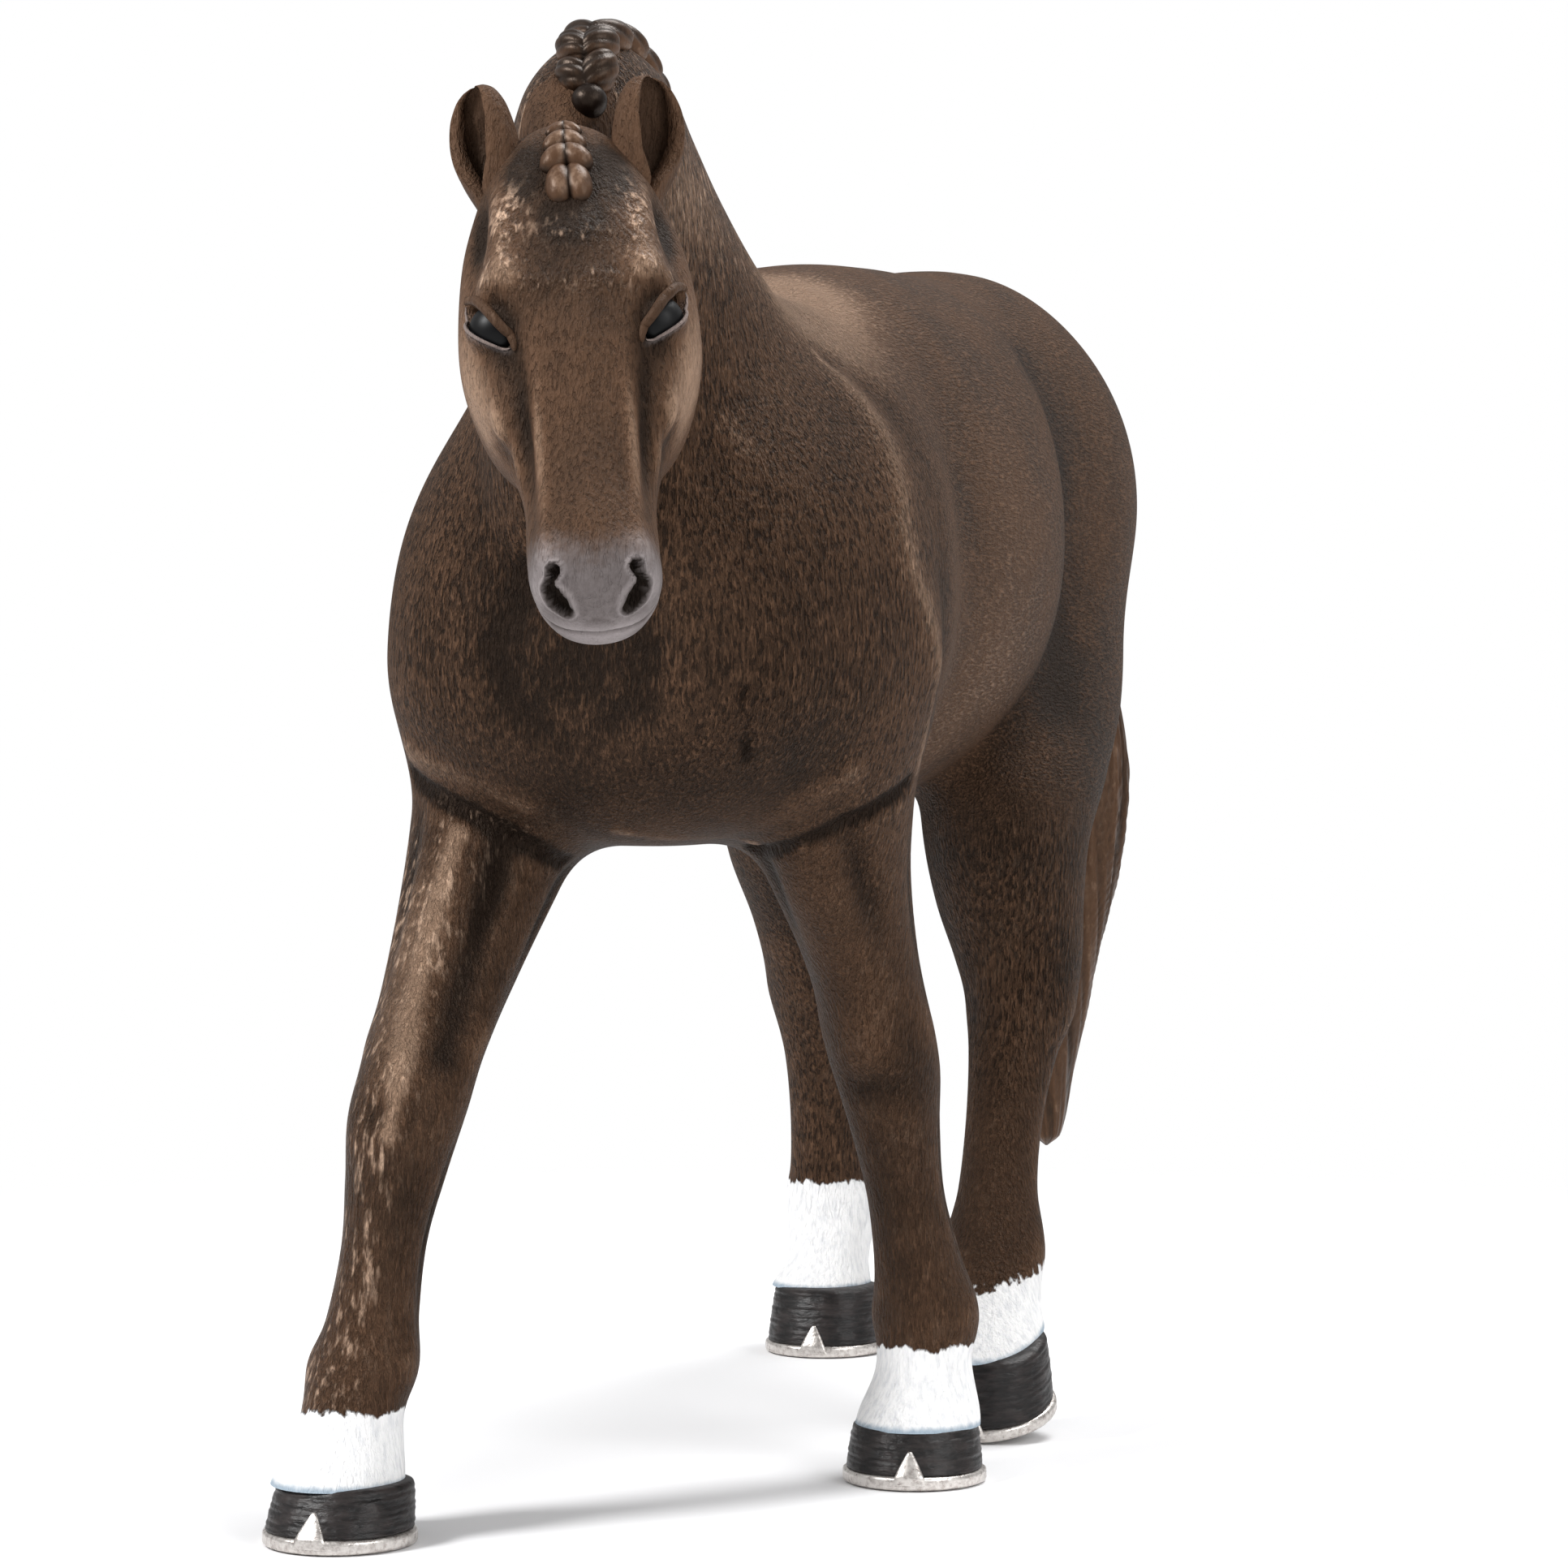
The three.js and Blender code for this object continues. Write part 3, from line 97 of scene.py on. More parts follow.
HEAD_SHARES = [
    [0, -0.026, 0, 0.013, 0.013, 0.009, 0.009, 2],
    [0.022, -0.026, 0, 0.368, 0.368, 0.264, 0.302, 2],
    [0.102, -0.026, 0, 0.658, 0.658, 0.453, 0.604, 2.2],
    [0.237, 0, 0, 0.908, 0.908, 0.566, 0.83, 2.3],
    [0.371, 0.013, 0, 1, 1, 0.585, 0.962, 2.3],
    [0.492, 0.013, 0, 0.987, 0.987, 0.547, 1, 2.2],
    [0.599, 0.013, 0, 0.829, 0.829, 0.491, 0.906, 2.1],
    [0.68, 0.026, 0, 0.645, 0.645, 0.462, 0.642, 2.1],
    [0.774, 0.026, 0, 0.553, 0.553, 0.453, 0.434, 2.1],
    [0.868, 0.026, 0, 0.553, 0.553, 0.472, 0.396, 2.2],
    [0.922, 0.039, 0, 0.539, 0.539, 0.443, 0.415, 2.2],
    [0.968, 0.039, 0, 0.434, 0.434, 0.34, 0.358, 2.1],
    [0.992, 0.039, 0, 0.263, 0.263, 0.208, 0.226, 2],
    [1, 0.039, 0, 0.013, 0.013, 0.009, 0.009, 2],
]

# A leg row: height, offset to the left, offset backwards, half width, front, back, roundness.
RIGHT_FORE_SHARES = [
    [0.04, -0.075, 0.05, 0.6, 0.65, 0.6, 2],
    [0.08, -0.075, 0.16, 0.55, 0.613, 0.55, 2],
    [0.133, -0.025, 0.263, 0.45, 0.5, 0.487, 2],
    [0.192, 0.025, 0.4, 0.463, 0.463, 0.55, 2],
    [0.25, 0.075, 0.475, 0.388, 0.412, 0.487, 2],
    [0.333, 0.15, 0.562, 0.362, 0.4, 0.45, 2],
    [0.408, 0.212, 0.662, 0.425, 0.45, 0.487, 2.1],
    [0.483, 0.262, 0.812, 0.5, 0.525, 0.525, 2.2],
    [0.55, 0.312, 1.075, 0.5, 0.537, 0.575, 2.1],
    [0.633, 0.35, 1.525, 0.575, 0.65, 0.7, 2],
    [0.733, 0.4, 2.05, 0.675, 0.825, 0.9, 2],
    [0.833, 0.475, 2.487, 0.8, 1, 1.075, 2],
    [0.933, 0.512, 2.8, 0.9, 1.075, 1.15, 2],
    [1.033, 0.57, 2.95, 0.89, 1, 1.1, 2],
    [1.167, 0.7, 3.3, 0.72, 0.8, 0.9, 2],
    [1.3, 0.82, 3.8, 0.4, 0.45, 0.5, 2],
    [1.4, 0.95, 4.2, 0.05, 0.05, 0.05, 2],
]

LEFT_FORE_SHARES = [
    [0.04, -0.012, 0.05, 0.6, 0.65, 0.6, 2],
    [0.08, -0.012, 0.18, 0.562, 0.613, 0.55, 2],
    [0.133, 0.012, 0.25, 0.45, 0.5, 0.487, 2],
    [0.208, 0.025, 0.262, 0.475, 0.475, 0.55, 2],
    [0.275, -0.038, 0.188, 0.4, 0.412, 0.487, 2],
    [0.35, -0.125, 0.125, 0.362, 0.388, 0.45, 2],
    [0.433, -0.2, 0.038, 0.412, 0.45, 0.487, 2.1],
    [0.508, -0.25, -0.087, 0.487, 0.525, 0.525, 2.2],
    [0.575, -0.3, -0.238, 0.487, 0.537, 0.562, 2.1],
    [0.65, -0.375, -0.463, 0.525, 0.625, 0.675, 2],
    [0.75, -0.462, -0.812, 0.65, 0.8, 0.85, 2],
    [0.85, -0.525, -1.137, 0.8, 0.975, 1.025, 2],
    [0.95, -0.575, -1.325, 0.9, 1.075, 1.15, 2],
    [1.05, -0.64, -1.387, 0.89, 1, 1.1, 2],
    [1.167, -0.74, -1.2, 0.72, 0.8, 0.9, 2],
    [1.3, -0.88, -0.75, 0.4, 0.45, 0.5, 2],
    [1.4, -1, -0.4, 0.05, 0.05, 0.05, 2],
]

RIGHT_HIND_SHARES = [
    [0.04, -0.125, 0.05, 0.6, 0.65, 0.6, 2],
    [0.09, -0.125, 0.22, 0.55, 0.613, 0.55, 2],
    [0.133, -0.087, 0.33, 0.45, 0.5, 0.487, 2],
    [0.192, -0.087, 0.45, 0.487, 0.475, 0.55, 2],
    [0.267, -0.113, 0.438, 0.425, 0.438, 0.463, 2],
    [0.35, -0.113, 0.35, 0.4, 0.425, 0.45, 2],
    [0.433, -0.087, 0.225, 0.438, 0.475, 0.5, 2],
    [0.5, -0.075, 0.1, 0.512, 0.55, 0.613, 2.1],
    [0.567, -0.087, -0.075, 0.537, 0.6, 0.725, 2.1],
    [0.642, -0.1, -0.425, 0.55, 0.675, 0.7, 2],
    [0.733, -0.062, -0.825, 0.675, 0.925, 0.95, 2],
    [0.833, 0.062, -1.05, 0.825, 1.225, 1.3, 2],
    [0.95, 0.287, -0.987, 0.825, 1.45, 1.55, 2.1],
    [1.083, 0.487, -0.675, 0.875, 1.4, 1.5, 2.1],
    [1.217, 0.612, -0.55, 0.75, 1.05, 1.15, 2],
    [1.333, 0.737, -0.55, 0.45, 0.6, 0.7, 2],
    [1.417, 0.8, -0.487, 0.05, 0.05, 0.05, 2],
]

LEFT_HIND_SHARES = [
    [0.04, -0.02, -0.3, 0.6, 0.65, 0.6, 2],
    [0.11, -0.012, 0, 0.55, 0.613, 0.55, 2],
    [0.175, -0.06, 0.28, 0.462, 0.5, 0.5, 2],
    [0.242, -0.14, 0.57, 0.487, 0.475, 0.55, 2],
    [0.308, -0.175, 0.8, 0.4, 0.438, 0.463, 2],
    [0.392, -0.2, 1.088, 0.388, 0.438, 0.475, 2],
    [0.475, -0.213, 1.4, 0.438, 0.5, 0.537, 2],
    [0.542, -0.2, 1.625, 0.512, 0.575, 0.675, 2.1],
    [0.608, -0.26, 1.725, 0.635, 0.65, 0.775, 2.1],
    [0.683, -0.34, 1.7, 0.74, 0.8, 0.875, 2],
    [0.767, -0.39, 1.75, 0.82, 1.025, 1.1, 2],
    [0.85, -0.42, 2.05, 0.9, 1.3, 1.6, 2],
    [0.95, -0.54, 2.737, 0.89, 1.45, 2.1, 2],
    [1.083, -0.7, 3.363, 0.88, 1.36, 1.95, 2],
    [1.217, -0.8, 3.8, 0.72, 1.0, 1.3, 2],
    [1.333, -0.9, 4.05, 0.45, 0.6, 0.7, 2],
    [1.417, -0.963, 4.175, 0.05, 0.05, 0.05, 2],
]

# A tail row: share of the height above the tip, then offset to the left, offset behind the
# buttock, half width and half thickness as shares of the tail's half width.
TAIL_SHARES = [
    [0, 0.72, -0.4, 0.02, 0.02],
    [0.014, 0.72, -0.36, 0.24, 0.28],
    [0.093, 0.62, -0.1, 0.48, 0.6],
    [0.207, 0.6, 0.3, 0.74, 0.76],
    [0.35, 0.76, 0.7, 0.93, 0.8],
    [0.464, 0.84, 0.9, 1, 0.76],
    [0.579, 0.72, 0.96, 0.9, 0.68],
    [0.707, 0.44, 0.8, 0.72, 0.6],
    [0.836, 0.12, 0.32, 0.58, 0.64],
    [0.921, 0, -0.5, 0.52, 0.72],
    [0.971, 0, -1.3, 0.4, 0.68],
    [1, 0, -1.8, 0.05, 0.1],
]

# Soft forms of the body, alike on both sides: place along the trunk, to the side and upwards,
# reach in the same three directions, and height, as shares of the trunk's sizes.
BODY_FORM_SHARES = [
    [0.208, 0.895, 0, 0.087, 0.316, 0.857, 0.045],  # shoulder blade
    [0.353, 0.947, 0.095, 0.05, 0.3, 0.857, -0.06],  # behind the shoulder blade
    [0.05, 0.68, -0.48, 0.05, 0.26, 0.3, 0.04],  # point of the shoulder
    [0.015, 0.37, -0.38, 0.058, 0.263, 0.38, 0.037],  # pectoral muscle
    [0.3, 0.63, -0.9, 0.058, 0.316, 0.286, -0.04],  # behind the elbow
    [0.498, 0.895, -0.19, 0.135, 0.37, 0.714, 0.035],  # ribs
    [0.681, 0.895, 0.286, 0.068, 0.316, 0.762, -0.08],  # flank
    [0.807, 0.842, 0.476, 0.1, 0.37, 0.6, 0.045],  # haunch
    [0.894, 0, 0.952, 0.135, 0.13, 0.38, -0.04],  # croup
    [0.02, 0.42, 0.55, 0.08, 0.16, 0.5, -0.035],  # groove along the windpipe
]

# The tail's locks: how many lie round it, their share of its relief, and how far they drift round
# it on the way down.
TAIL_LOCKS = ((5, 0.3, 0.35), (11, 0.22, 0.5), (23, 0.16, 0.42), (41, 0.09, 0.46))

# Where the lobes of the forelock meet, from the poll, as shares of the head's length, and of each
# lobe the size as a share of the largest and how far it leans outwards.
FORELOCK_WAISTS = [0.035, 0.072, 0.117, 0.17, 0.236]
FORELOCK_LOBES = [0.56, 0.78, 1.0, 0.98]
FORELOCK_LEANS = [0.9, 0.9, 0.8, 0.1]

# Where the mane's line climbs from the poll knot, along the neck, to the side and upwards, then
# where its lobes meet on the crest, and the knot's place, as shares of the neck's sizes. Last, how
# far the lobes lean outwards.
MANE_START = [(0.972, -0.165, 0.2), (0.998, -0.11, 0.07), (0.996, -0.06, -0.08)]
MANE_WAISTS = [0.955, 0.885, 0.81, 0.735, 0.66, 0.585, 0.51, 0.435, 0.36]
POLL_KNOT = (0.961, -0.181, 0.242)
MANE_LEAN = 0.6

# A lobe lies the first share of the plait's half width beside its line. Its half length is the
# second share of the way from waist to waist, and its half width that share of the plait's.
LOBE_OFFSET = 0.42
LOBE_SHARE = 0.68

# Places as shares of the head's length, half width and depth.
EYE_PLACE = (0.452, 0.66, 0.283)
EAR_ROOT = (0.17, 0.54, 0.066)
EAR_TIP = (-0.048, 0.757, 0.31)

# An ear's sections: share of its length, and shares of its half width and its depth.
EAR_SHARES = [
    (0.0, 0.6, 0.8), (0.12, 0.7, 0.86), (0.3, 0.86, 0.95), (0.55, 1.0, 1.0), (0.78, 0.91, 0.82),
    (0.92, 0.66, 0.55), (0.98, 0.38, 0.32), (1.0, 0.14, 0.12),
]

# Directions of the limbs and the seams, and angles in degrees.
NECK_AXIS = (0.05, -0.6, 0.8)
HEAD_AXIS = (0.22, -0.402, -0.889)
HEAD_SIDE = (0.927, 0.371, 0.062)
NECK_SEAM_NORMAL = (0.0, -0.67, 0.743)
HEAD_SEAM_NORMAL = (0.3, -0.95, 0.05)
RIGHT_SIDE = (-1.0, 0.0, 0.0)

# Each leg: its table, its foot's place to the left and behind as shares of the trunk's half width
# and length, the toe's angle outwards, the heel's angle, and the heights of its sock and coronet
# in metres.
LEGS = {
    "right_fore": (RIGHT_FORE_SHARES, -0.742, -0.487, 2.0, 0.0, 0.0089, 0.004),
    "left_fore": (LEFT_FORE_SHARES, 0.789, -0.1343, 14.0, 0.0, 0.0099, 0.004),
    "right_hind": (RIGHT_HIND_SHARES, -0.679, 0.4386, 7.0, 0.0, 0.0148, 0.0056),
    "left_hind": (LEFT_HIND_SHARES, 0.747, 0.0734, 0.0, 18.0, 0.0096, 0.0056),
}

# Forms of the legs, by the height above the ground and the place to the side and behind the leg's
# middle line there, reach in the same three directions, and height, in millimetres. A form that
# lies off the middle is on both sides of the leg.
FORE_FORMS = [
    (33.0, 0.0, -4.0, 3.2, 2.4, 2.2, 0.55),
    (29.2, 0.0, -3.6, 1.2, 2.6, 2.0, -0.3),
    (33.5, 3.6, -0.6, 2.2, 1.4, 1.8, 0.35),
    (34.0, 0.0, 4.4, 2.2, 1.8, 1.8, 0.6),
    (22.0, 2.9, 1.1, 6.5, 1.0, 0.75, -0.5),
    (12.2, 0.0, 4.2, 1.6, 1.6, 1.6, 0.5),
    (12.0, 3.2, -0.6, 1.6, 1.2, 1.6, 0.3),
    (9.0, 2.8, 0.5, 1.2, 1.2, 1.6, -0.25),
    (44.0, 0.0, -6.0, 7.0, 2.6, 3.0, 0.5),
    (44.0, 3.4, -5.2, 7.0, 0.8, 2.4, -0.45),
    (43.0, 4.8, 1.5, 6.0, 1.4, 1.2, -0.45),
]
HIND_FORMS = [
    (36.5, 0.0, 6.0, 2.6, 1.6, 2.0, 0.7),
    (33.0, 0.0, -4.6, 3.0, 2.4, 2.0, 0.35),
    (32.0, 4.0, 0.0, 2.4, 1.2, 2.2, 0.4),
    (43.0, 3.6, 3.4, 5.0, 1.2, 1.2, -0.7),
    (23.0, 3.0, 1.1, 6.5, 1.0, 0.75, -0.5),
    (13.5, 0.0, 4.4, 1.8, 1.6, 1.6, 0.5),
    (13.5, 3.4, -0.6, 1.8, 1.2, 1.6, 0.3),
]

# Lines on the body: the side that they lie on, or nought for both, points to the left, behind and
# above the ground, the half width and height of the relief there, and the share of pale brushing,
# or of dark wash below nought. Sizes in millimetres. Most of the brushing is painted light, such as
# the highlight on the lit side of the right foreleg, and the wash is painted shade, in creases and
# on that leg's shaded side.
BODY_LINES = [
    (0, [(12.5, -23.9, 79.9), (15.2, -24.6, 76.6), (16.9, -25.7, 73.0), (17.9, -27.2, 69.1),
         (18.6, -26.9, 66.3), (19.2, -25.1, 63.5), (18.8, -23.4, 60.3)], 2.2, 0.4, 0.28),
    (0, [(10.8, -23.0, 80.5), (13.2, -20.6, 76.6), (15.6, -20.0, 72.0), (17.4, -20.0, 66.3),
         (17.8, -18.5, 60.3)], 2.4, -0.5, -0.4),
    (0, [(13.0, 22.0, 84.0), (15.8, 25.0, 76.0), (16.8, 26.0, 68.0), (15.5, 23.0, 58.0)], 3.2, -0.4, -0.35),
    (0, [(3.0, -43.6, 66.0), (5.5, -43.2, 61.0), (4.8, -43.4, 57.0), (1.0, -43.8, 54.5)], 1.3, -0.35, -0.25),
    (1, [(10.9, -39.6, 58.0), (10.5, -39.0, 56.4), (10.9, -38.4, 53.6)], 0.35, -0.3, -1.0),
    (1, [(1.2, -43.4, 57.7), (2.4, -43.6, 57.1)], 0.3, -0.3, -1.0),
    (1, [(1.0, -37.5, 47.9), (2.8, -36.5, 47.4), (5.4, -33.3, 47.0), (7.8, -28.0, 47.0)], 0.5, 0.25, 1.8),
    (-1, [(-15.0, -36.5, 52.2), (-12.1, -38.6, 50.8), (-9.4, -39.2, 49.6), (-7.2, -38.6, 48.2),
          (-5.5, -36.9, 47.0), (-4.9, -33.7, 46.2)], 0.6, -0.55, -1.0),
    (-1, [(-14.0, -38.0, 54.0), (-11.0, -40.2, 52.6), (-8.0, -40.8, 51.4), (-5.0, -40.0, 50.0)],
     1.3, 0.35, 0.3),
    (1, [(7.0, -27.0, 46.4), (11.3, -29.4, 47.2), (14.4, -28.8, 48.4), (16.7, -26.2, 50.2),
         (17.6, -23.5, 51.5)], 0.6, -0.5, -0.9),
    (1, [(8.0, -31.0, 49.6), (12.0, -32.0, 50.4), (15.4, -30.4, 52.4)], 1.3, 0.3, 0.2),
    (-1, [(-12.2, -38.2, 47.6), (-12.6, -40.2, 43.6), (-12.9, -42.0, 39.6), (-12.6, -44.0, 36.2)],
     2.4, 0.1, 0.28),
    (-1, [(-10.2, -39.4, 48.0), (-10.9, -41.2, 43.6), (-11.3, -43.0, 39.6), (-11.4, -45.2, 35.6),
          (-11.0, -46.4, 33.0), (-11.4, -48.6, 27.6)], 0.7, 0.35, 0.5),
    (-1, [(-7.4, -38.6, 47.0), (-8.0, -40.8, 42.0), (-8.6, -42.8, 37.5), (-8.9, -44.6, 33.0)],
     1.5, -0.35, -0.2),
    (1, [(14.5, -36.5, 61.0), (14.5, -35.5, 54.0)], 5.0, 0.0, -0.45),
    (1, [(10.8, -24.0, 82.0), (12.5, -24.2, 79.9), (15.2, -24.9, 76.6), (16.9, -26.0, 73.0),
         (18.0, -27.5, 69.1), (18.8, -27.2, 66.3), (19.4, -25.3, 63.5), (19.2, -23.4, 60.3),
         (18.6, -22.6, 56.0), (17.9, -22.0, 52.5)], 0.5, 0.1, 0.8),
    (1, [(9.0, -37.5, 76.0), (11.6, -34.8, 71.5), (13.6, -33.4, 67.0), (15.0, -32.6, 62.0)], 1.2, 0.15, 0.25),
]

# Painted light and shade on the body, alike on both sides: place to the left, behind and above the
# ground, reach in those directions in millimetres, and share of pale brushing that stands in for light,
# or of dark painted shade below nought.
BODY_SHADES = [
    (5.5, -17.0, 87.5, 6.0, 9.0, 4.5, 2.0),
    (10.5, -19.0, 82.0, 4.0, 6.0, 5.0, 0.8),
    (14.5, -8.0, 52.0, 5.0, 16.0, 5.0, 0.35),
    (7.5, -40.0, 91.5, 2.5, 6.0, 5.0, 0.5),
    (16.0, 2.0, 60.0, 4.0, 14.0, 6.0, 0.35),
    (17.5, 2.0, 72.0, 3.0, 10.0, 10.0, 0.15),
    (2.5, -43.5, 57.0, 8.0, 8.0, 12.0, -0.45),
    (9.0, 34.0, 52.0, 12.0, 20.0, 11.0, -0.6),
    (6.0, 30.0, 36.0, 20.0, 30.0, 12.0, -0.3),
    (14.0, -22.0, 24.0, 8.0, 12.0, 12.0, -0.45),
    (11.4, -46.0, 22.0, 6.0, 10.0, 8.0, -0.3),
    (15.0, 24.0, 62.0, 6.0, 8.0, 14.0, -0.4),
    (2.0, -22.0, 46.0, 8.0, 22.0, 5.0, -0.4),
    (12.0, -36.0, 46.0, 4.0, 6.0, 6.0, -0.4),
    (10.0, -35.0, 78.0, 4.0, 7.0, 10.0, 0.12),
]

# Forms of the face, mirrored on both sides: place from poll to lip, to the side and to the front
# in the head's frame, reach in those three directions, and height, in millimetres.
FACE_SWELLS = [
    (14.0, 4.6, 5.0, 2.0, 1.3, 1.6, 0.8),
    (15.9, 5.9, 4.6, 2.0, 0.7, 1.0, 0.55),
    (17.4, 5.2, 4.4, 2.4, 1.5, 1.6, -0.45),
    (21.0, 4.3, 4.6, 2.6, 1.0, 2.0, -0.5),
    (26.5, 2.9, 4.2, 5.0, 0.45, 1.6, 0.36),
    (28.0, 0.6, 4.6, 5.0, 1.2, 1.6, -0.12),
    (25.5, 3.9, 3.4, 4.0, 0.55, 1.4, -0.4),
    (22.8, 5.4, 2.2, 2.6, 0.5, 0.9, 0.45),
    (26.8, 4.4, 2.1, 2.8, 0.4, 0.9, 0.42),
    (24.5, 5.2, 0.2, 3.5, 0.9, 1.2, -0.35),
    (15.0, 6.4, -3.5, 5.0, 2.5, 4.0, 0.45),
    (20.5, 5.6, -5.6, 3.0, 2.0, 2.4, 0.35),
    (33.4, 2.7, 3.7, 1.5, 1.2, 1.3, 0.4),
    (35.2, 3.5, 2.2, 1.5, 0.8, 1.7, 0.4),
    (36.6, 0.0, 0.4, 1.0, 3.5, 1.0, 0.2),
    (35.6, 0.0, -2.4, 1.2, 2.4, 0.9, 0.25),
    (9.5, 6.1, 3.3, 3.2, 0.75, 1.3, -0.9),
    (10.0, 4.6, 4.9, 3.0, 0.8, 1.4, 0.35),
    (11.5, 0.0, 6.4, 3.0, 2.6, 2.0, 0.25),
    (19.0, 0.0, 5.6, 4.0, 1.0, 1.4, 0.2),
]

# Painted light and shade on the face in the same places, as on the body, such as the shadow below
# the forelock and between the ears and the light on the left cheek.
FACE_SHADES = [
    (6.0, 2.9, 4.8, 2.2, 1.0, 1.8, -1.6),
    (10.3, 0.1, 6.2, 1.3, 1.4, 1.6, -2.6),
    (9.5, 6.1, 3.3, 3.0, 0.7, 1.4, -0.9),
    (17.4, 5.0, 4.4, 2.8, 1.3, 1.6, -0.9),
    (13.9, 3.9, 5.6, 1.3, 1.1, 1.2, 0.4),
    (11.0, 3.9, 5.6, 2.4, 0.7, 1.2, 0.25),
    (4.5, 0.0, 6.0, 3.5, 5.0, 3.0, -0.6),
    (10.0, 0.0, 6.4, 5.5, 4.0, 2.4, -0.5),
    (21.0, 6.9, 0.6, 7.0, 1.6, 3.2, 1.3),
    (24.5, 3.9, 3.4, 4.0, 0.6, 1.2, -0.4),
    (24.0, 5.3, 0.4, 4.0, 0.8, 1.4, -0.4),
    (27.0, 2.9, 4.3, 5.5, 0.4, 1.2, 0.2),
    (20.0, 0.0, 5.8, 9.0, 1.6, 1.6, -0.15),
]

# A nostril as a comma, in the same places: place, side, front and radius at points of its line.
NOSTRIL_LINE = [
    (34.5, 2.4, 3.7, 0.36),
    (34.95, 2.7, 3.2, 0.24),
    (35.35, 2.8, 2.75, 0.45),
    (35.95, 2.4, 2.25, 0.6),
    (36.4, 1.95, 1.75, 0.42),
]

# Glossy crinkled patches on the face in the same places, which also carry painted highlights: reach as
# above, and share of gloss.
FACE_GLOSS_AND_HIGHLIGHTS = [
    (10.0, 4.2, 5.2, 2.6, 1.2, 2.0, 1.0),
    (13.9, 4.6, 5.0, 1.3, 1.5, 1.8, 1.0),
    (14.8, 1.6, 6.0, 0.9, 1.6, 1.6, 0.8),
    (11.5, 1.0, 6.3, 1.2, 1.4, 1.6, 0.45),
]

# The line between the lips, in front of the head's axis, and its half width and depth.
MOUTH_LINE = (-0.8, 0.25, 0.35)

# The almond between the lids: half its length and half its height in eye radii, and its power.
ALMOND = (1.2, 0.42, 1.6)

# The lids: whether it is the lower one, its line's value in the almond, and its radius in
# millimetres.
LIDS = ((False, 1.25, 0.36), (True, 1.1, 0.12))

# Superellipse powers of hoof, shoe and toe clip, the angle from the toe to a heel of the shoe in
# degrees, and the hoof's growth ridges in radians to a millimetre.
HOOF_POWER = 2.2
IRON_POWER = 5.0
CLIP_POWER = 3
IRON_ANGLE = 148
HOOF_RIDGES = (7.0, 11.5, 17.0)

# Reach in millimetres over which a limb blends into the body, for neck and legs and for the head.
LIMB_BLEND = 3.5
HEAD_BLEND = 4.0

# The direction that the lit side of the right foreleg faces: it gets gloss and painted highlights.
LIT_SIDE = (-0.55, -0.8, 0.1)

# Boxes in millimetres that the skins of trunk, neck and head are sampled in, and the number of
# parts that the samples are taken in, to spare memory.
TRUNK_BOX = ((-22, -48, 44), (22, 64, 96))
NECK_BOX = ((-20, -54, 56), (20, -10, 106))
HEAD_BOX = ((-6, -74, 56), (19, -40, 103))
GRID_PARTS = 24

# Display colour of the sheen on coat and hair.
WARM_SHEEN = (1.0, 0.88, 0.79)

# What the coat's paint reads from its mesh, and the height of the skin above its sock and its
# coronet where no foot is near, in millimetres.
COAT_MARKS = ("proud", "brushed", "leg", "down", "muzzle", "ink", "pale", "gloss", "sock", "coronet")
NO_FOOT = 20.0

# The stage in metres: lamps with their place, power and size, the point that they face, and half
# the side of the floor.
LAMPS = (
    ("key", (-0.28, -0.34, 0.42), 3.1, 0.16),
    ("fill", (0.42, -0.22, 0.28), 1.1, 0.3),
    ("top", (0.12, 0.2, 0.55), 2.4, 0.3),
)
LAMP_TARGET = (0, 0, 0.06)
FLOOR_HALF = 2.0

# The camera: its place in millimetres, its turn about the upright in degrees, its focal length, the
# drop of its middle and the width of the picture in pixels, and its sensor's width in millimetres.
CAMERA_PLACE = (118.0, -325.0, 57.6)
CAMERA_TURN = 20
FOCAL_PIXELS = 5500.0
DROP_PIXELS = 107.0
PICTURE_PIXELS = 1932.0
SENSOR_WIDTH = 36.0


# Sections and limbs
def mm(metres):
    """A size in millimetres."""
    return metres * 1000.0


def unit(direction):
    """The direction at the length of one."""
    direction = np.asarray(direction, float)
    return direction / np.linalg.norm(direction)


def smooth_step(low, high, value):
    """The cubic step that climbs from nought at low to one at high."""
    share = np.clip((value - low) / (high - low), 0.0, 1.0)
    return share * share * (3.0 - 2.0 * share)


def rows_at(rows, place):
    """Rows of a table at any places along it: each column follows a cubic whose slope at a row
    is the straight slope between its two neighbours."""
    x, y = rows[:, 0], rows[:, 1:]
    slope = np.empty_like(y)
    slope[1:-1] = (y[2:] - y[:-2]) / (x[2:] - x[:-2])[:, None]
    slope[0] = (y[1] - y[0]) / (x[1] - x[0])
    slope[-1] = (y[-1] - y[-2]) / (x[-1] - x[-2])
    i = np.clip(np.searchsorted(x, place, side="right") - 1, 0, len(x) - 2)
    span = (x[i + 1] - x[i])[:, None]
    s = np.clip((place - x[i])[:, None] / span, 0.0, 1.0)
    rise = 3 * (y[i + 1] - y[i]) - span * (2 * slope[i] + slope[i + 1])
    turn = 2 * (y[i] - y[i + 1]) + span * (slope[i] + slope[i + 1])
    return y[i] + s * (span * slope[i] + s * (rise + s * turn))


class Axes:
    """A square frame: its origin, its axis, its side and the third direction."""

    def __init__(self, origin, along, across):
        self.origin = np.asarray(origin, float)
        self.along = unit(along)
        across = np.asarray(across, float)
        self.across = unit(across - self.along * (across @ self.along))
        self.up = np.cross(self.along, self.across)

    def point(self, along, across, up):
        """Points from their places in this frame."""
        along, across, up = (np.asarray(v, float)[..., None] for v in (along, across, up))
        return self.origin + along * self.along + across * self.across + up * self.up

    def local(self, points):
        """The places of points in this frame."""
        offset = points - self.origin
        return offset @ self.along, offset @ self.across, offset @ self.up


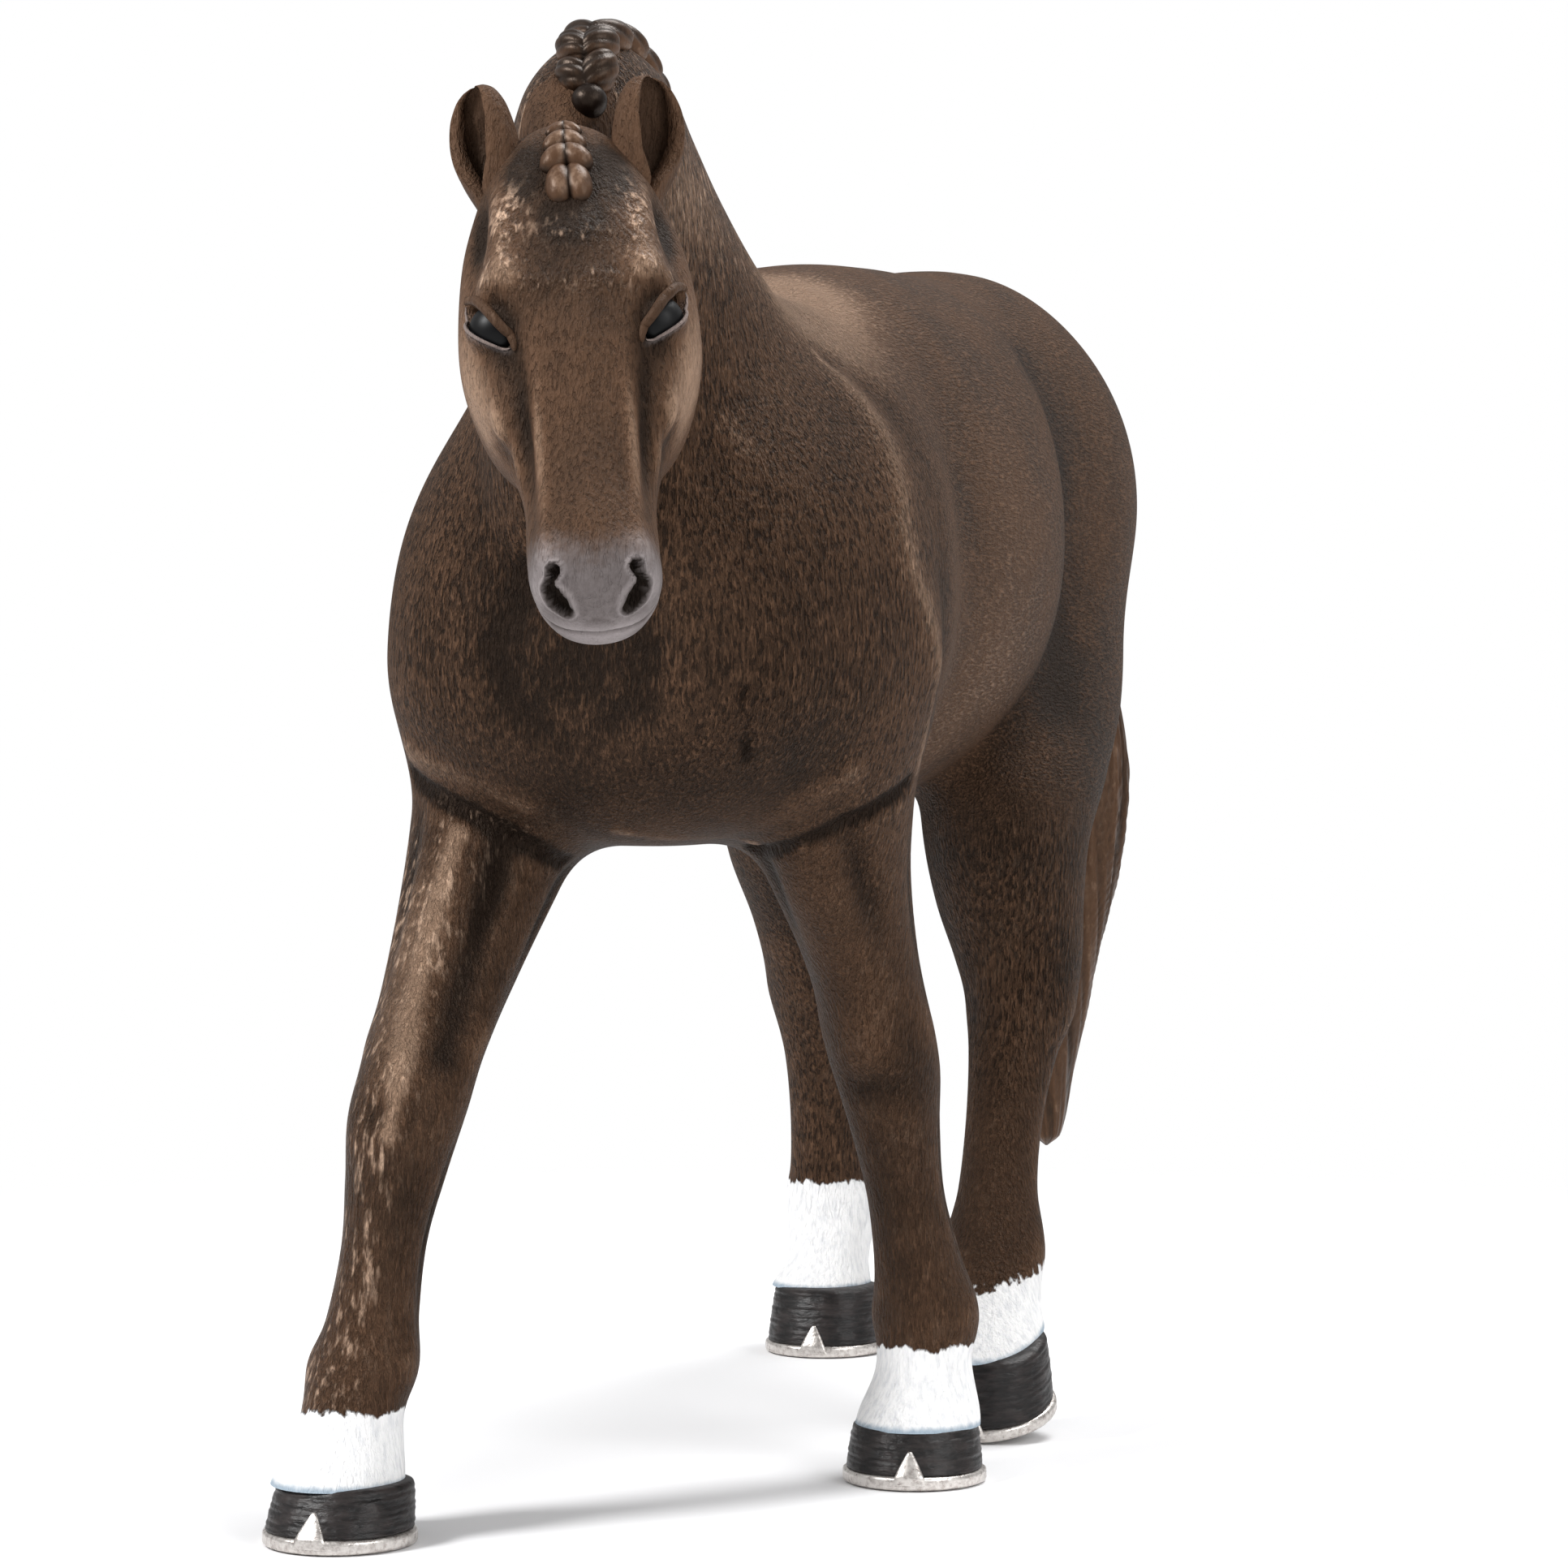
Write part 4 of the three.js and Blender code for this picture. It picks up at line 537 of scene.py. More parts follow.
class Limb:
    """A loft of superellipse sections on an axis, read as a field of signed distance."""

    samples = 400

    def __init__(self, axes, rows):
        self.axes = axes
        self.rows = np.asarray(rows, float)
        self.start, self.end = self.rows[0, 0], self.rows[-1, 0]
        table = rows_at(self.rows, np.linspace(self.start, self.end, self.samples))
        table[:, 2:6] = np.maximum(table[:, 2:6], 0.05)
        self.table = table.astype(np.float32)

    def field(self, points):
        """Distance beyond the section, along the ray from its middle: the ray's length times
        one less the inverse of the superellipse's value there. Past an end it is rounded."""
        place, side, lift = self.axes.local(points)
        spot = (place - self.start) / (self.end - self.start) * (self.samples - 1)
        spot = np.clip(spot, 0, self.samples - 1.001)
        i = spot.astype(np.int32)
        share = (spot - i).astype(np.float32)[:, None]
        row = self.table[i] * (1 - share) + self.table[i + 1] * share
        side = side - row[:, 0]
        lift = lift - row[:, 1]
        half_side = np.where(side >= 0, row[:, 2], row[:, 3])
        half_lift = np.where(lift >= 0, row[:, 4], row[:, 5])
        power = row[:, 6]
        value = (np.abs(side) / half_side) ** power + (np.abs(lift) / half_lift) ** power
        value = np.maximum(value, 1e-6) ** (1 / power)
        least = -np.minimum(half_side, half_lift)
        distance = np.maximum(np.hypot(side, lift) * (1 - 1 / value), least)
        past = np.maximum(np.maximum(self.start - place, place - self.end), 0)
        return np.where(past > 0, np.hypot(np.maximum(distance, 0), past), distance)


def smooth_union(a, b, reach):
    """The lesser of two fields, rounded where they come within reach of each other."""
    share = np.clip(0.5 + 0.5 * (b - a) / reach, 0.0, 1.0)
    return b + (a - b) * share - reach * share * (1 - share)


def foot_frame(foot, toe_angle, heel_angle, edge):
    """A foot's own frame as a 4x4 matrix: the toe turned out, the heel lifted about the toe."""
    turn = Matrix.Rotation(math.radians(toe_angle), 4, "Z")
    lift = Matrix.Rotation(math.radians(heel_angle), 4, "X")
    place = Matrix.Translation((foot[0], foot[1], 0))
    toe = Matrix.Translation((0, -edge, 0))
    return np.array(place @ turn @ toe @ lift @ toe.inverted())


def placed(points, matrix):
    """Points turned and moved by a 4x4 matrix."""
    return points @ matrix[:3, :3].T + matrix[:3, 3]


def superellipse(angle, power):
    """Points of a superellipse of half sizes one: the cosine and the sine of an angle over the
    root of the sum of their powers."""
    c, s = np.cos(angle), np.sin(angle)
    reach = (np.abs(c) ** power + np.abs(s) ** power) ** (-1 / power)
    return reach * c, reach * s


class Horse:
    """The horse's frames, limbs and seams in millimetres, from the sizes of the add-on."""

    def __init__(self, sizes):
        self.sizes = sizes
        length, width, depth = mm(sizes.trunk_length), mm(sizes.trunk_half_width), mm(sizes.trunk_half_depth)
        leg_height, knee = mm(sizes.leg_height), mm(sizes.knee_width)
        axis_height = leg_height + mm(sizes.axis_above_elbow)
        self.trunk = Axes((0, -0.4203 * length, axis_height), (0, 1, 0), RIGHT_SIDE)
        neck_length, neck_width, neck_depth = (
            mm(sizes.neck_length), mm(sizes.neck_half_width), mm(sizes.neck_half_depth))
        self.neck = Axes(self.trunk.point(0.169 * length, 0, 0.19 * depth), NECK_AXIS, RIGHT_SIDE)
        poll = self.neck.point(0.923 * neck_length, -0.102 * neck_width, 0.377 * neck_depth)
        self.head = Axes(poll, HEAD_AXIS, HEAD_SIDE)
        self.head_units = mm(sizes.head_length), mm(sizes.head_half_width), mm(sizes.head_depth)
        self.neck_units = neck_length, neck_width, neck_depth
        self.trunk_units = length, width, depth
        self.limbs = [
            (Limb(self.trunk, self.sections(TRUNK_SHARES, self.trunk_units)), 0.0),
            (Limb(self.neck, self.sections(NECK_SHARES, self.neck_units)), LIMB_BLEND),
        ]
        self.head_limb = Limb(self.head, self.sections(HEAD_SHARES, self.head_units))
        edge = mm(sizes.hoof_toe_reach) + mm(sizes.shoe_overhang)
        self.feet = {}
        ground = Axes((0, 0, 0), (0, 0, 1), (1, 0, 0))
        for name, (table, left, behind, toe, heel, sock, coronet) in LEGS.items():
            foot = (left * width, behind * length)
            rows = np.asarray(table) * [leg_height, knee, knee, knee, knee, knee, 1]
            rows = rows[:, [0, 1, 2, 3, 3, 5, 4, 6]] + [0, *foot, 0, 0, 0, 0, 0]
            self.limbs.append((Limb(ground, rows), LIMB_BLEND))
            self.feet[name] = (foot_frame(foot, toe, heel, edge), mm(sock), mm(coronet))
        self.limbs.append((self.head_limb, HEAD_BLEND))
        self.front = [self.limbs[1], self.limbs[-1]]
        low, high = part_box("left_eye")
        self.shift = np.array([mm((low[k] + high[k]) / 2) for k in range(3)]) - self.eye(1)

    def sections(self, shares, units):
        """A table of shares as sizes in millimetres."""
        length, width, depth = units
        return np.asarray(shares) * [length, width, depth, width, width, depth, depth, 1]

    def on_head(self, along, side, front):
        """A point of the head, from shares of its length, half width and depth."""
        length, width, depth = self.head_units
        return self.head.point(along * length, side * width, front * depth)

    def eye(self, side):
        """The middle of the left eye for a side of one, of the right one for minus one."""
        along, across, front = EYE_PLACE
        return self.on_head(along, side * across, front)

    def field(self, points, limbs):
        """The smooth union of some limbs, each with the reach of its blend."""
        points = points.astype(np.float32)
        total = limbs[0][0].field(points)
        for limb, reach in limbs[1:]:
            total = smooth_union(total, limb.field(points), reach)
        return total

    def slope(self, points, limbs, step=0.05):
        """The field's gradient, by central differences."""
        moves = np.eye(3) * step
        rises = [self.field(points + move, limbs) - self.field(points - move, limbs) for move in moves]
        return np.stack(rises, -1) / (2 * step)

    def settle(self, points, limbs, rounds=3):
        """Moves points onto the coat along the slope, and returns them with their normals."""
        for _ in range(rounds):
            slope = self.slope(points, limbs)
            steep = np.maximum((slope * slope).sum(-1), 0.2)
            step = np.clip(self.field(points, limbs) / steep, -0.3, 0.3)
            points = points - slope * step[:, None]
        slope = self.slope(points, limbs)
        return points, slope / np.maximum(np.linalg.norm(slope, axis=-1, keepdims=True), 1e-6)

    def muscle(self, points):
        """Height of the body's and the legs' forms: the sum of bells, each the exponential of
        less the squared distance from its centre in reaches."""
        length, width, depth = self.trunk_units
        along, across, up = self.trunk.local(points)
        place = np.stack([along / length, np.abs(across) / width, up / depth], -1)
        height = np.zeros(len(points))
        for row in BODY_FORM_SHARES:
            away = ((place - row[:3]) / row[3:6]) ** 2
            height += row[6] * width * np.exp(-away.sum(-1))
        for name, (limb, _) in zip(LEGS, self.limbs[2:6]):
            spot = np.linspace(limb.start, limb.end, limb.samples)
            left = points[:, 0] - np.interp(points[:, 2], spot, limb.table[:, 0])
            behind = points[:, 1] - np.interp(points[:, 2], spot, limb.table[:, 1])
            for z, x, y, rz, rx, ry, rise in FORE_FORMS if "fore" in name else HIND_FORMS:
                for side in (1, -1) if x else (1,):
                    away = ((left - side * x) / rx) ** 2 + ((behind - y) / ry) ** 2
                    height += rise * np.exp(-((points[:, 2] - z) / rz) ** 2 - away)
        return height

    def drawn(self, points):
        """Relief and painted light and shade of the lines on the body: a bell across each line."""
        height, brushed = np.zeros(len(points)), np.zeros(len(points))
        for side, line, half, rise, pale in BODY_LINES:
            line = np.asarray(line)
            place = points if side else np.stack([np.abs(points[:, 0]), points[:, 1], points[:, 2]], -1)
            least = np.full(len(points), 1e9)
            for a, b in zip(line[:-1], line[1:]):
                share = np.clip((place - a) @ (b - a) / ((b - a) @ (b - a)), 0, 1)
                least = np.minimum(least, ((place - a - share[:, None] * (b - a)) ** 2).sum(-1))
            bell = np.exp(-least / half ** 2)
            height += rise * bell
            brushed += pale * bell
        return height, brushed

    def bells(self, places, rows):
        """The sum of bells over rows of centres, reaches and heights."""
        total = np.zeros(len(places[0]))
        for row in rows:
            away = sum(((place - row[k]) / row[k + 3]) ** 2 for k, place in enumerate(places))
            total += row[6] * np.exp(-away)
        return total

    def shades(self, points, is_head):
        """Painted light and shade, as pale brushing and dark wash, in the face's or the body's places."""
        if is_head:
            return self.bells(self.face_places(points), FACE_SHADES)
        places = (np.abs(points[:, 0]), points[:, 1], points[:, 2])
        return self.bells(places, BODY_SHADES) + self.drawn(points)[1]

    def face_places(self, points):
        """Places in the head's frame, with the side mirrored about the middle of the face."""
        along, across, up = self.head.local(points)
        return along, np.abs(across - 0.008 * along), up

    def face(self, points):
        """Height of the forms of the face."""
        along, across, up = self.face_places(points)
        height = self.bells((along, across, up), FACE_SWELLS)
        middle, half, deep = MOUTH_LINE
        mouth = np.exp(-((up - middle) / half) ** 2) * smooth_step(31.5, 33.5, along)
        return height - deep * mouth

    def nostrils(self, points):
        """Distance from the line of the nearest nostril, in radii of the hole there."""
        along, across, up = self.face_places(points)
        line = np.asarray(NOSTRIL_LINE)
        spots = np.linspace(0, len(line) - 1, 25)
        columns = [np.interp(spots, np.arange(len(line)), column) for column in line.T]
        least = np.full(len(points), 9.0)
        for a, c, u, r in zip(*columns):
            least = np.minimum(least, np.sqrt((along - a) ** 2 + (across - c) ** 2 + (up - u) ** 2) / r)
        return least

    def relief(self, points, is_head):
        """Height of all the forms laid on the limbs, but for the lids and the nostrils."""
        if is_head:
            return self.face(points)
        return self.muscle(points) + self.drawn(points)[0]

    def proud(self, points, limbs, is_head):
        """How far the coat stands proud: the relief less its mean over the six points at a step,
        and the field's Laplacian over that step where it is hollow."""
        step = 0.9 if is_head else 1.6
        moves = np.concatenate([np.eye(3), -np.eye(3)]) * step
        bend = sum(self.field(points + move, limbs) for move in moves) - 6 * self.field(points, limbs)
        bend = bend / step ** 2
        around = sum(self.relief(points + move, is_head) for move in moves) / 6
        rise = self.relief(points, is_head) - around
        hollow = 0.5 * np.clip(bend + 0.02, -0.8, 0)
        thin = smooth_step(50.0, 40.0, points[:, 2])
        return 3.0 * rise + hollow + 0.25 * thin * np.clip(bend - 0.3, 0, 0.6)

    def eye_axes(self, side):
        """The eye's outward direction, its slit's and the one to the lower lid."""
        out = unit(self.head.across * side * 0.7 + self.head.up * 0.7 - self.head.along * 0.1)
        slit = unit(self.head.along * 0.81 - self.head.across * side * 0.51 + self.head.up * 0.3)
        slit = unit(slit - out * (slit @ out))
        cross = np.cross(out, slit)
        return out, slit, cross * np.sign(cross @ self.head.along)

    def lid_line(self, side, lower, value, count=48):
        """Points along one lid's rim, an arc of the almond raised to the skin or, where that lies
        deeper, to a ball a little larger than the eye."""
        out, slit, cross = self.eye_axes(side)
        radius = mm(self.sizes.eye_radius)
        half_length, half_height, _ = ALMOND
        turn = np.linspace(-1, 1, count) * 0.5 * np.pi
        s = np.sin(turn) * half_length * radius * value
        c = np.cos(turn) ** 1.25 * half_height * radius * value * (1 if lower else -1)
        base = self.eye(side) + s[:, None] * slit + c[:, None] * cross
        rise = np.linspace(0, 5, 101)
        spots = base[:, None] + rise[None, :, None] * out
        values = self.field(spots.reshape(-1, 3), self.front) - self.face(spots.reshape(-1, 3))
        skin = rise[np.argmax(values.reshape(count, -1) > 0, axis=1)]
        ball = np.sqrt(np.maximum((radius + 0.25) ** 2 - s ** 2 - c ** 2, 0))
        return base + np.maximum(skin, ball)[:, None] * out

    def lids(self, points, side):
        """The almond between the lids in the eye's own plane: its value is one on the rim. With
        it go the distance from the eye's middle and the share of the lower lid."""
        centre = self.eye(side)
        out, slit, cross = self.eye_axes(side)
        offset = points - centre
        radius = mm(self.sizes.eye_radius)
        half_length, half_height, power = ALMOND
        along, down = offset @ slit / radius, offset @ cross / radius
        value = np.abs(along / half_length) ** power + np.abs(down / half_height) ** power
        value = np.where(offset @ out > 0, value ** (1 / power), 9.0)
        return value, np.linalg.norm(offset, axis=-1), smooth_step(-0.1, 0.3, down)


# Meshes
def surface_net(values, low, cell):
    """A mesh of the zero level of a sampled field. Each cell that the level crosses has one
    vertex, at the mean of the crossings on its twelve edges, and each crossed grid edge has one
    face through the four cells round it."""
    inside = values < 0
    count = sum(
        inside[a : a - 1 or None, b : b - 1 or None, c : c - 1 or None].astype(np.int8)
        for a in (0, 1) for b in (0, 1) for c in (0, 1)
    )
    mixed = (count > 0) & (count < 8)
    cells = np.argwhere(mixed)
    index = np.full(mixed.shape, -1, np.int32)
    index[mixed] = np.arange(len(cells))
    total = np.zeros((len(cells), 3))
    hits = np.zeros(len(cells))
    for axis in range(3):
        step = np.eye(3, dtype=int)[axis]
        others = [k for k in range(3) if k != axis]
        for p in (0, 1):
            for q in (0, 1):
                near = np.zeros(3, int)
                near[others[0]], near[others[1]] = p, q
                a = values[tuple((cells + near).T)]
                b = values[tuple((cells + near + step).T)]
                crossed = (a < 0) != (b < 0)
                share = np.where(crossed, a / np.where(crossed, a - b, 1), 0)
                total += crossed[:, None] * (near + share[:, None] * step)
                hits += crossed
    points = low + cell * (cells + total / hits[:, None])
    faces = []
    for axis in range(3):
        p, q = [k for k in range(3) if k != axis]
        start = inside.take(range(inside.shape[axis] - 1), axis)
        stop = inside.take(range(1, inside.shape[axis]), axis)
        found = np.argwhere(start != stop)
        found = found[(found[:, p] > 0) & (found[:, q] > 0)]
        found = found[(found[:, p] < mixed.shape[p]) & (found[:, q] < mixed.shape[q])]
        outward = start[tuple(found.T)]
        corners = []
        for dp, dq in ((0, 0), (1, 0), (1, 1), (0, 1)):
            around = found.copy()
            around[:, p] -= dp
            around[:, q] -= dq
            corners.append(index[tuple(around.T)])
        quads = np.stack(corners, -1)
        if axis == 1:
            outward = ~outward
        quads[~outward] = quads[~outward][:, ::-1]
        faces.append(quads)
    return points, np.concatenate(faces)


def mesh_from(name, points, faces, shift, attributes=None):
    """A mesh in metres from millimetres, with float attributes on its points."""
    mesh = bpy.data.meshes.new(name)
    mesh.vertices.add(len(points))
    mesh.vertices.foreach_set("co", ((points + shift) / 1000.0).astype(np.float32).ravel())
    sides = faces.shape[1]
    mesh.loops.add(faces.size)
    mesh.polygons.add(len(faces))
    mesh.loops.foreach_set("vertex_index", faces.astype(np.int32).ravel())
    mesh.polygons.foreach_set("loop_start", np.arange(0, faces.size, sides, dtype=np.int32))
    mesh.update(calc_edges=True)
    for key, values in (attributes or {}).items():
        layer = mesh.attributes.new(key, "FLOAT", "POINT")
        layer.data.foreach_set("value", values.astype(np.float32))
    return mesh


def cut_mesh(mesh, planes):
    """Keeps what lies ahead of each plane, caps the cuts and marks their rims sharp."""
    cut = bmesh.new()
    cut.from_mesh(mesh)
    for point, normal in planes:
        geometry = cut.verts[:] + cut.edges[:] + cut.faces[:]
        bmesh.ops.bisect_plane(cut, geom=geometry, plane_co=point, plane_no=normal, clear_inner=True)
        rim = [edge for edge in cut.edges if edge.is_boundary]
        filled = bmesh.ops.holes_fill(cut, edges=rim, sides=0)["faces"]
        for edge in rim:
            edge.smooth = False
        bmesh.ops.triangulate(cut, faces=filled)
    cut.normal_update()
    cut.to_mesh(mesh)
    cut.free()


def add_piece(name, mesh, material, nodes):
    """Links a smooth mesh as a piece that rides on the body and stands for its CAD nodes."""
    mesh.polygons.foreach_set("use_smooth", np.full(len(mesh.polygons), True))
    mesh.materials.append(material)
    piece = bpy.data.objects.new(name, mesh)
    bpy.context.scene.collection.objects.link(piece)
    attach(piece, "root")
    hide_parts(*nodes)


def closed_grid(rings):
    """Faces of a tube of rings, closed round each ring and at both ends by a pole each."""
    count, sides = rings.shape[:2]
    points = np.concatenate([rings.reshape(-1, 3), rings[0].mean(0)[None], rings[-1].mean(0)[None]])
    i, j = np.meshgrid(np.arange(count - 1), np.arange(sides), indexing="ij")
    a, b = i * sides + j, i * sides + (j + 1) % sides
    walls = np.stack([a, b, b + sides, a + sides], -1).reshape(-1, 4)
    ring = np.arange(sides)
    after = (ring + 1) % sides
    first, last = count * sides, count * sides + 1
    start = np.stack([np.full(sides, first), after, ring, ring], -1)
    end = np.stack([np.full(sides, last), ring, after, after], -1) + [0, *([(count - 1) * sides] * 3)]
    triangles = np.concatenate([walls[:, [0, 1, 2]], walls[:, [0, 2, 3]], start[:, :3], end[:, :3]])
    return points, triangles


def outward(points, faces):
    """Turns the faces round if the solid they close has a negative volume."""
    a, b, c = (points[faces[:, k]] for k in range(3))
    volume = (np.cross(a, b) * c).sum()
    return faces if volume > 0 else faces[:, ::-1]


def merged(shells):
    """Several closed shells as one list of points and faces."""
    points, faces, start = [], [], 0
    for shell_points, shell_faces in shells:
        points.append(shell_points)
        faces.append(outward(shell_points, shell_faces) + start)
        start += len(shell_points)
    return np.concatenate(points), np.concatenate(faces)


def ellipsoid(centre, axes, sizes, relief=None, rows=40, sides=56):
    """A closed ellipsoid on three axes: centre plus the sines and cosines of two angles times the
    half sizes, pushed out by an optional relief of the two angles."""
    polar = np.linspace(0, np.pi, rows + 2)[1:-1, None]
    round_angle = np.linspace(0, 2 * np.pi, sides, endpoint=False)[None, :]
    push = 1.0 if relief is None else 1.0 + relief(polar, round_angle)
    a = np.cos(polar) * np.ones_like(round_angle) * push
    b = np.sin(polar) * np.cos(round_angle) * push
    c = np.sin(polar) * np.sin(round_angle) * push
    along, across, up = (np.asarray(axis, float) for axis in axes)
    rings = (centre + (sizes[0] * a)[..., None] * along + (sizes[1] * b)[..., None] * across
             + (sizes[2] * c)[..., None] * up)
    return closed_grid(rings)


# Materials
class Wire:
    """A node socket that can be reckoned with like a number, on either side of one."""

    def __init__(self, tree, socket=None):
        self.tree, self.socket = tree, socket

    def node(self, kind, settings=None, inputs=None, output=0):
        """Any node, from its type, its settings and its inputs."""
        made = self.tree.nodes.new(kind)
        for name, value in (settings or {}).items():
            setattr(made, name, value)
        for name, value in (inputs or {}).items():
            if isinstance(value, Wire):
                self.tree.links.new(value.socket, made.inputs[name])
            else:
                made.inputs[name].default_value = value
        return Wire(self.tree, made.outputs[output] if made.outputs else None)

    def reckon(self, operation, first, second):
        """One step of arithmetic on two sockets or numbers."""
        return self.node("ShaderNodeMath", {"operation": operation}, {0: first, 1: second})

    def __add__(self, other):
        return self.reckon("ADD", self, other)

    def __radd__(self, other):
        return self.reckon("ADD", other, self)

    def __sub__(self, other):
        return self.reckon("SUBTRACT", self, other)

    def __rsub__(self, other):
        return self.reckon("SUBTRACT", other, self)

    def __mul__(self, other):
        return self.reckon("MULTIPLY", self, other)

    def __rmul__(self, other):
        return self.reckon("MULTIPLY", other, self)

    def step(self, low, high):
        """Climbs smoothly from nought at low to one at high."""
        return self.node("ShaderNodeMapRange", {"interpolation_type": "SMOOTHSTEP"},
                         {"Value": self, "From Min": low, "From Max": high})

    def blend(self, first, second):
        """The first colour at nought and the second at one."""
        inputs = {0: self, 6: first, 7: second}
        return self.node("ShaderNodeMix", {"data_type": "RGBA"}, inputs, 2)


def colour(red, green, blue):
    """A display colour from nought to one as the linear colour of a shader."""
    parts = [c / 12.92 if c <= 0.04045 else ((c + 0.055) / 1.055) ** 2.4 for c in (red, green, blue)]
    return (*parts, 1.0)


class Paint:
    """One material: the places and marks that its colours are reckoned from."""

    def __init__(self, name):
        self.material = bpy.data.materials.new(name)
        self.material.use_nodes = True
        self.tree = self.material.node_tree
        self.tree.nodes.clear()
        self.start = Wire(self.tree)
        self.place = self.start.node("ShaderNodeTexCoord", output=3)

    def mark(self, name):
        """A float attribute of the mesh."""
        return self.start.node("ShaderNodeAttribute", {"attribute_name": name}, output=2)

    def noise(self, size, stretch=(1, 1, 1), turn=(0, 0, 0), detail=2.0, rough=0.5):
        """Noise about one half, with a grain of size millimetres stretched in three directions."""
        scale = [1000.0 / (size * s) for s in stretch]
        mapped = self.start.node("ShaderNodeMapping", {"vector_type": "POINT"},
                                 {"Vector": self.place, "Scale": scale, "Rotation": turn})
        return self.start.node("ShaderNodeTexNoise", {},
                               {"Vector": mapped, "Scale": 1.0, "Detail": detail, "Roughness": rough})

    def bump(self, height, depth):
        """A relief of so many millimetres."""
        inputs = {"Height": height, "Distance": depth / 1000.0, "Strength": 1.0}
        return self.start.node("ShaderNodeBump", {}, inputs)

    def finish(self, constants, wires):
        """The shader, from its constant and its varying inputs."""
        shader = self.start.node("ShaderNodeBsdfPrincipled", {}, {**constants, **wires})
        self.start.node("ShaderNodeOutputMaterial", {}, {"Surface": shader})
        return self.material


def coat_paint(name, looks, hair=1.0):
    """Brown paint with fine hair strokes and short dark flecks, both by the share of hair, pale dry
    brushing on what stands proud and painted highlights on lit places, painted shade in what lies low
    and in shaded places, and painted highlights on glossy crinkles.
    The muzzle is grey and the socks are white, with a ragged top edge and a bluish coronet."""
    paint = Paint(name)
    proud, brushed, leg, down, muzzle, ink, pale, gloss, sock, coronet = (
        paint.mark(key) for key in COAT_MARKS)
    hair_down = paint.noise(0.21, (1, 1, 4.5), (0.08, 0.1, 0), 2.0, 0.6)
    hair_back = paint.noise(0.2, (1, 4.5, 1), (-0.6, 0, 0), 2.0, 0.6)
    strokes = (down * hair_down + (1.0 - down) * hair_back).step(0.32, 0.68)
    broad = paint.noise(6.0, (1, 1.2, 1.4), detail=4.0, rough=0.6)
    grain = paint.noise(0.45, detail=4.0, rough=0.7)
    furry = 1.0 - leg * 0.65
    fleck = paint.noise(0.26, (1, 1, 3.6), (0.1, 0, 0), 2.0).step(0.54, 0.62)
    fleck = fleck * (down * 0.85 + 0.15) * furry
    crumple = paint.noise(0.5, (1, 1, 4.2), (0.12, 0.1, 0), 2.0, 0.55)
    # Painted highlights: bright flecks of colour where the crinkles are glossy.
    painted_glint = (crumple + (broad - 0.5) * 0.5).step(0.53, 0.79) * gloss

    # Painted light and shade: dark wash in hollows and shaded places, pale brushing where raised or lit.
    shade = proud * 0.8 + brushed
    hairs = (strokes - 0.5) * furry
    tone = shade * 0.8 + hairs * (0.5 * hair) + (broad - 0.5) * 1.1 + leg * 0.03 + 0.64
    brown = tone.step(-0.1, 1.05).blend(tuple(looks.wash_and_shade), tuple(looks.coat))
    brown = (fleck * (0.7 * hair)).blend(brown, colour(0.075, 0.05, 0.038))
    dust_and_light = shade + hairs * (0.45 * hair) + gloss * 0.3 + (grain - 0.5) * 0.8
    brown = (dust_and_light.step(0.15, 1.2) * 0.55).blend(brown, tuple(looks.dusting_and_highlight))
    brown = painted_glint.blend(brown, tuple(looks.painted_glint))

    # The muzzle is paler where it stands proud, a painted highlight, and varies with grain.
    grey_tone = (proud * 0.7 + (grain - 0.5) * 0.4 + 0.3).step(0.0, 1.2)
    grey = grey_tone.blend(tuple(looks.muzzle), tuple(looks.lip))
    base = (muzzle + (grain - 0.5) * 0.4).step(0.15, 0.85).blend(brown, grey)
    base = pale.blend(base, tuple(looks.lip))

    teeth = paint.noise(0.55, (1, 1, 2.2), detail=3.0) * 1.5 + paint.noise(1.8, detail=1.0) * 1.2 - 1.35
    white_share = (sock + teeth).step(0.12, -0.12)
    streak = paint.noise(0.4, (1, 1, 3.0), detail=3.0).step(0.25, 0.6)
    white = streak.blend(tuple(looks.sock_shade), tuple(looks.sock))
    white = (coronet + teeth * 0.25).step(0.6, 0.1).blend(white, tuple(looks.coronet))
    base = white_share.blend(base, white)
    # Near-black: the black of the eyes, painted shade in the ears' hollows, and dark in the nostrils, the
    # mouth line and over the upper lids.
    base = ink.blend(base, colour(0.05, 0.035, 0.03))

    rough = 0.62 - gloss * 0.3 + (broad - 0.5) * 0.25 + white_share * 0.1
    relief = strokes * (0.9 * hair) + grain * 0.25 - fleck * (1.2 * hair) + crumple * gloss * 2.8
    relief = relief * (1.0 - white_share * 0.85) * (1.0 - muzzle * 0.7)
    constants = {"Specular IOR Level": 0.5, "IOR": 1.28, "Specular Tint": colour(*WARM_SHEEN)}
    wires = {"Base Color": base, "Roughness": rough, "Normal": paint.bump(relief, 0.34)}
    return paint.finish(constants, wires)


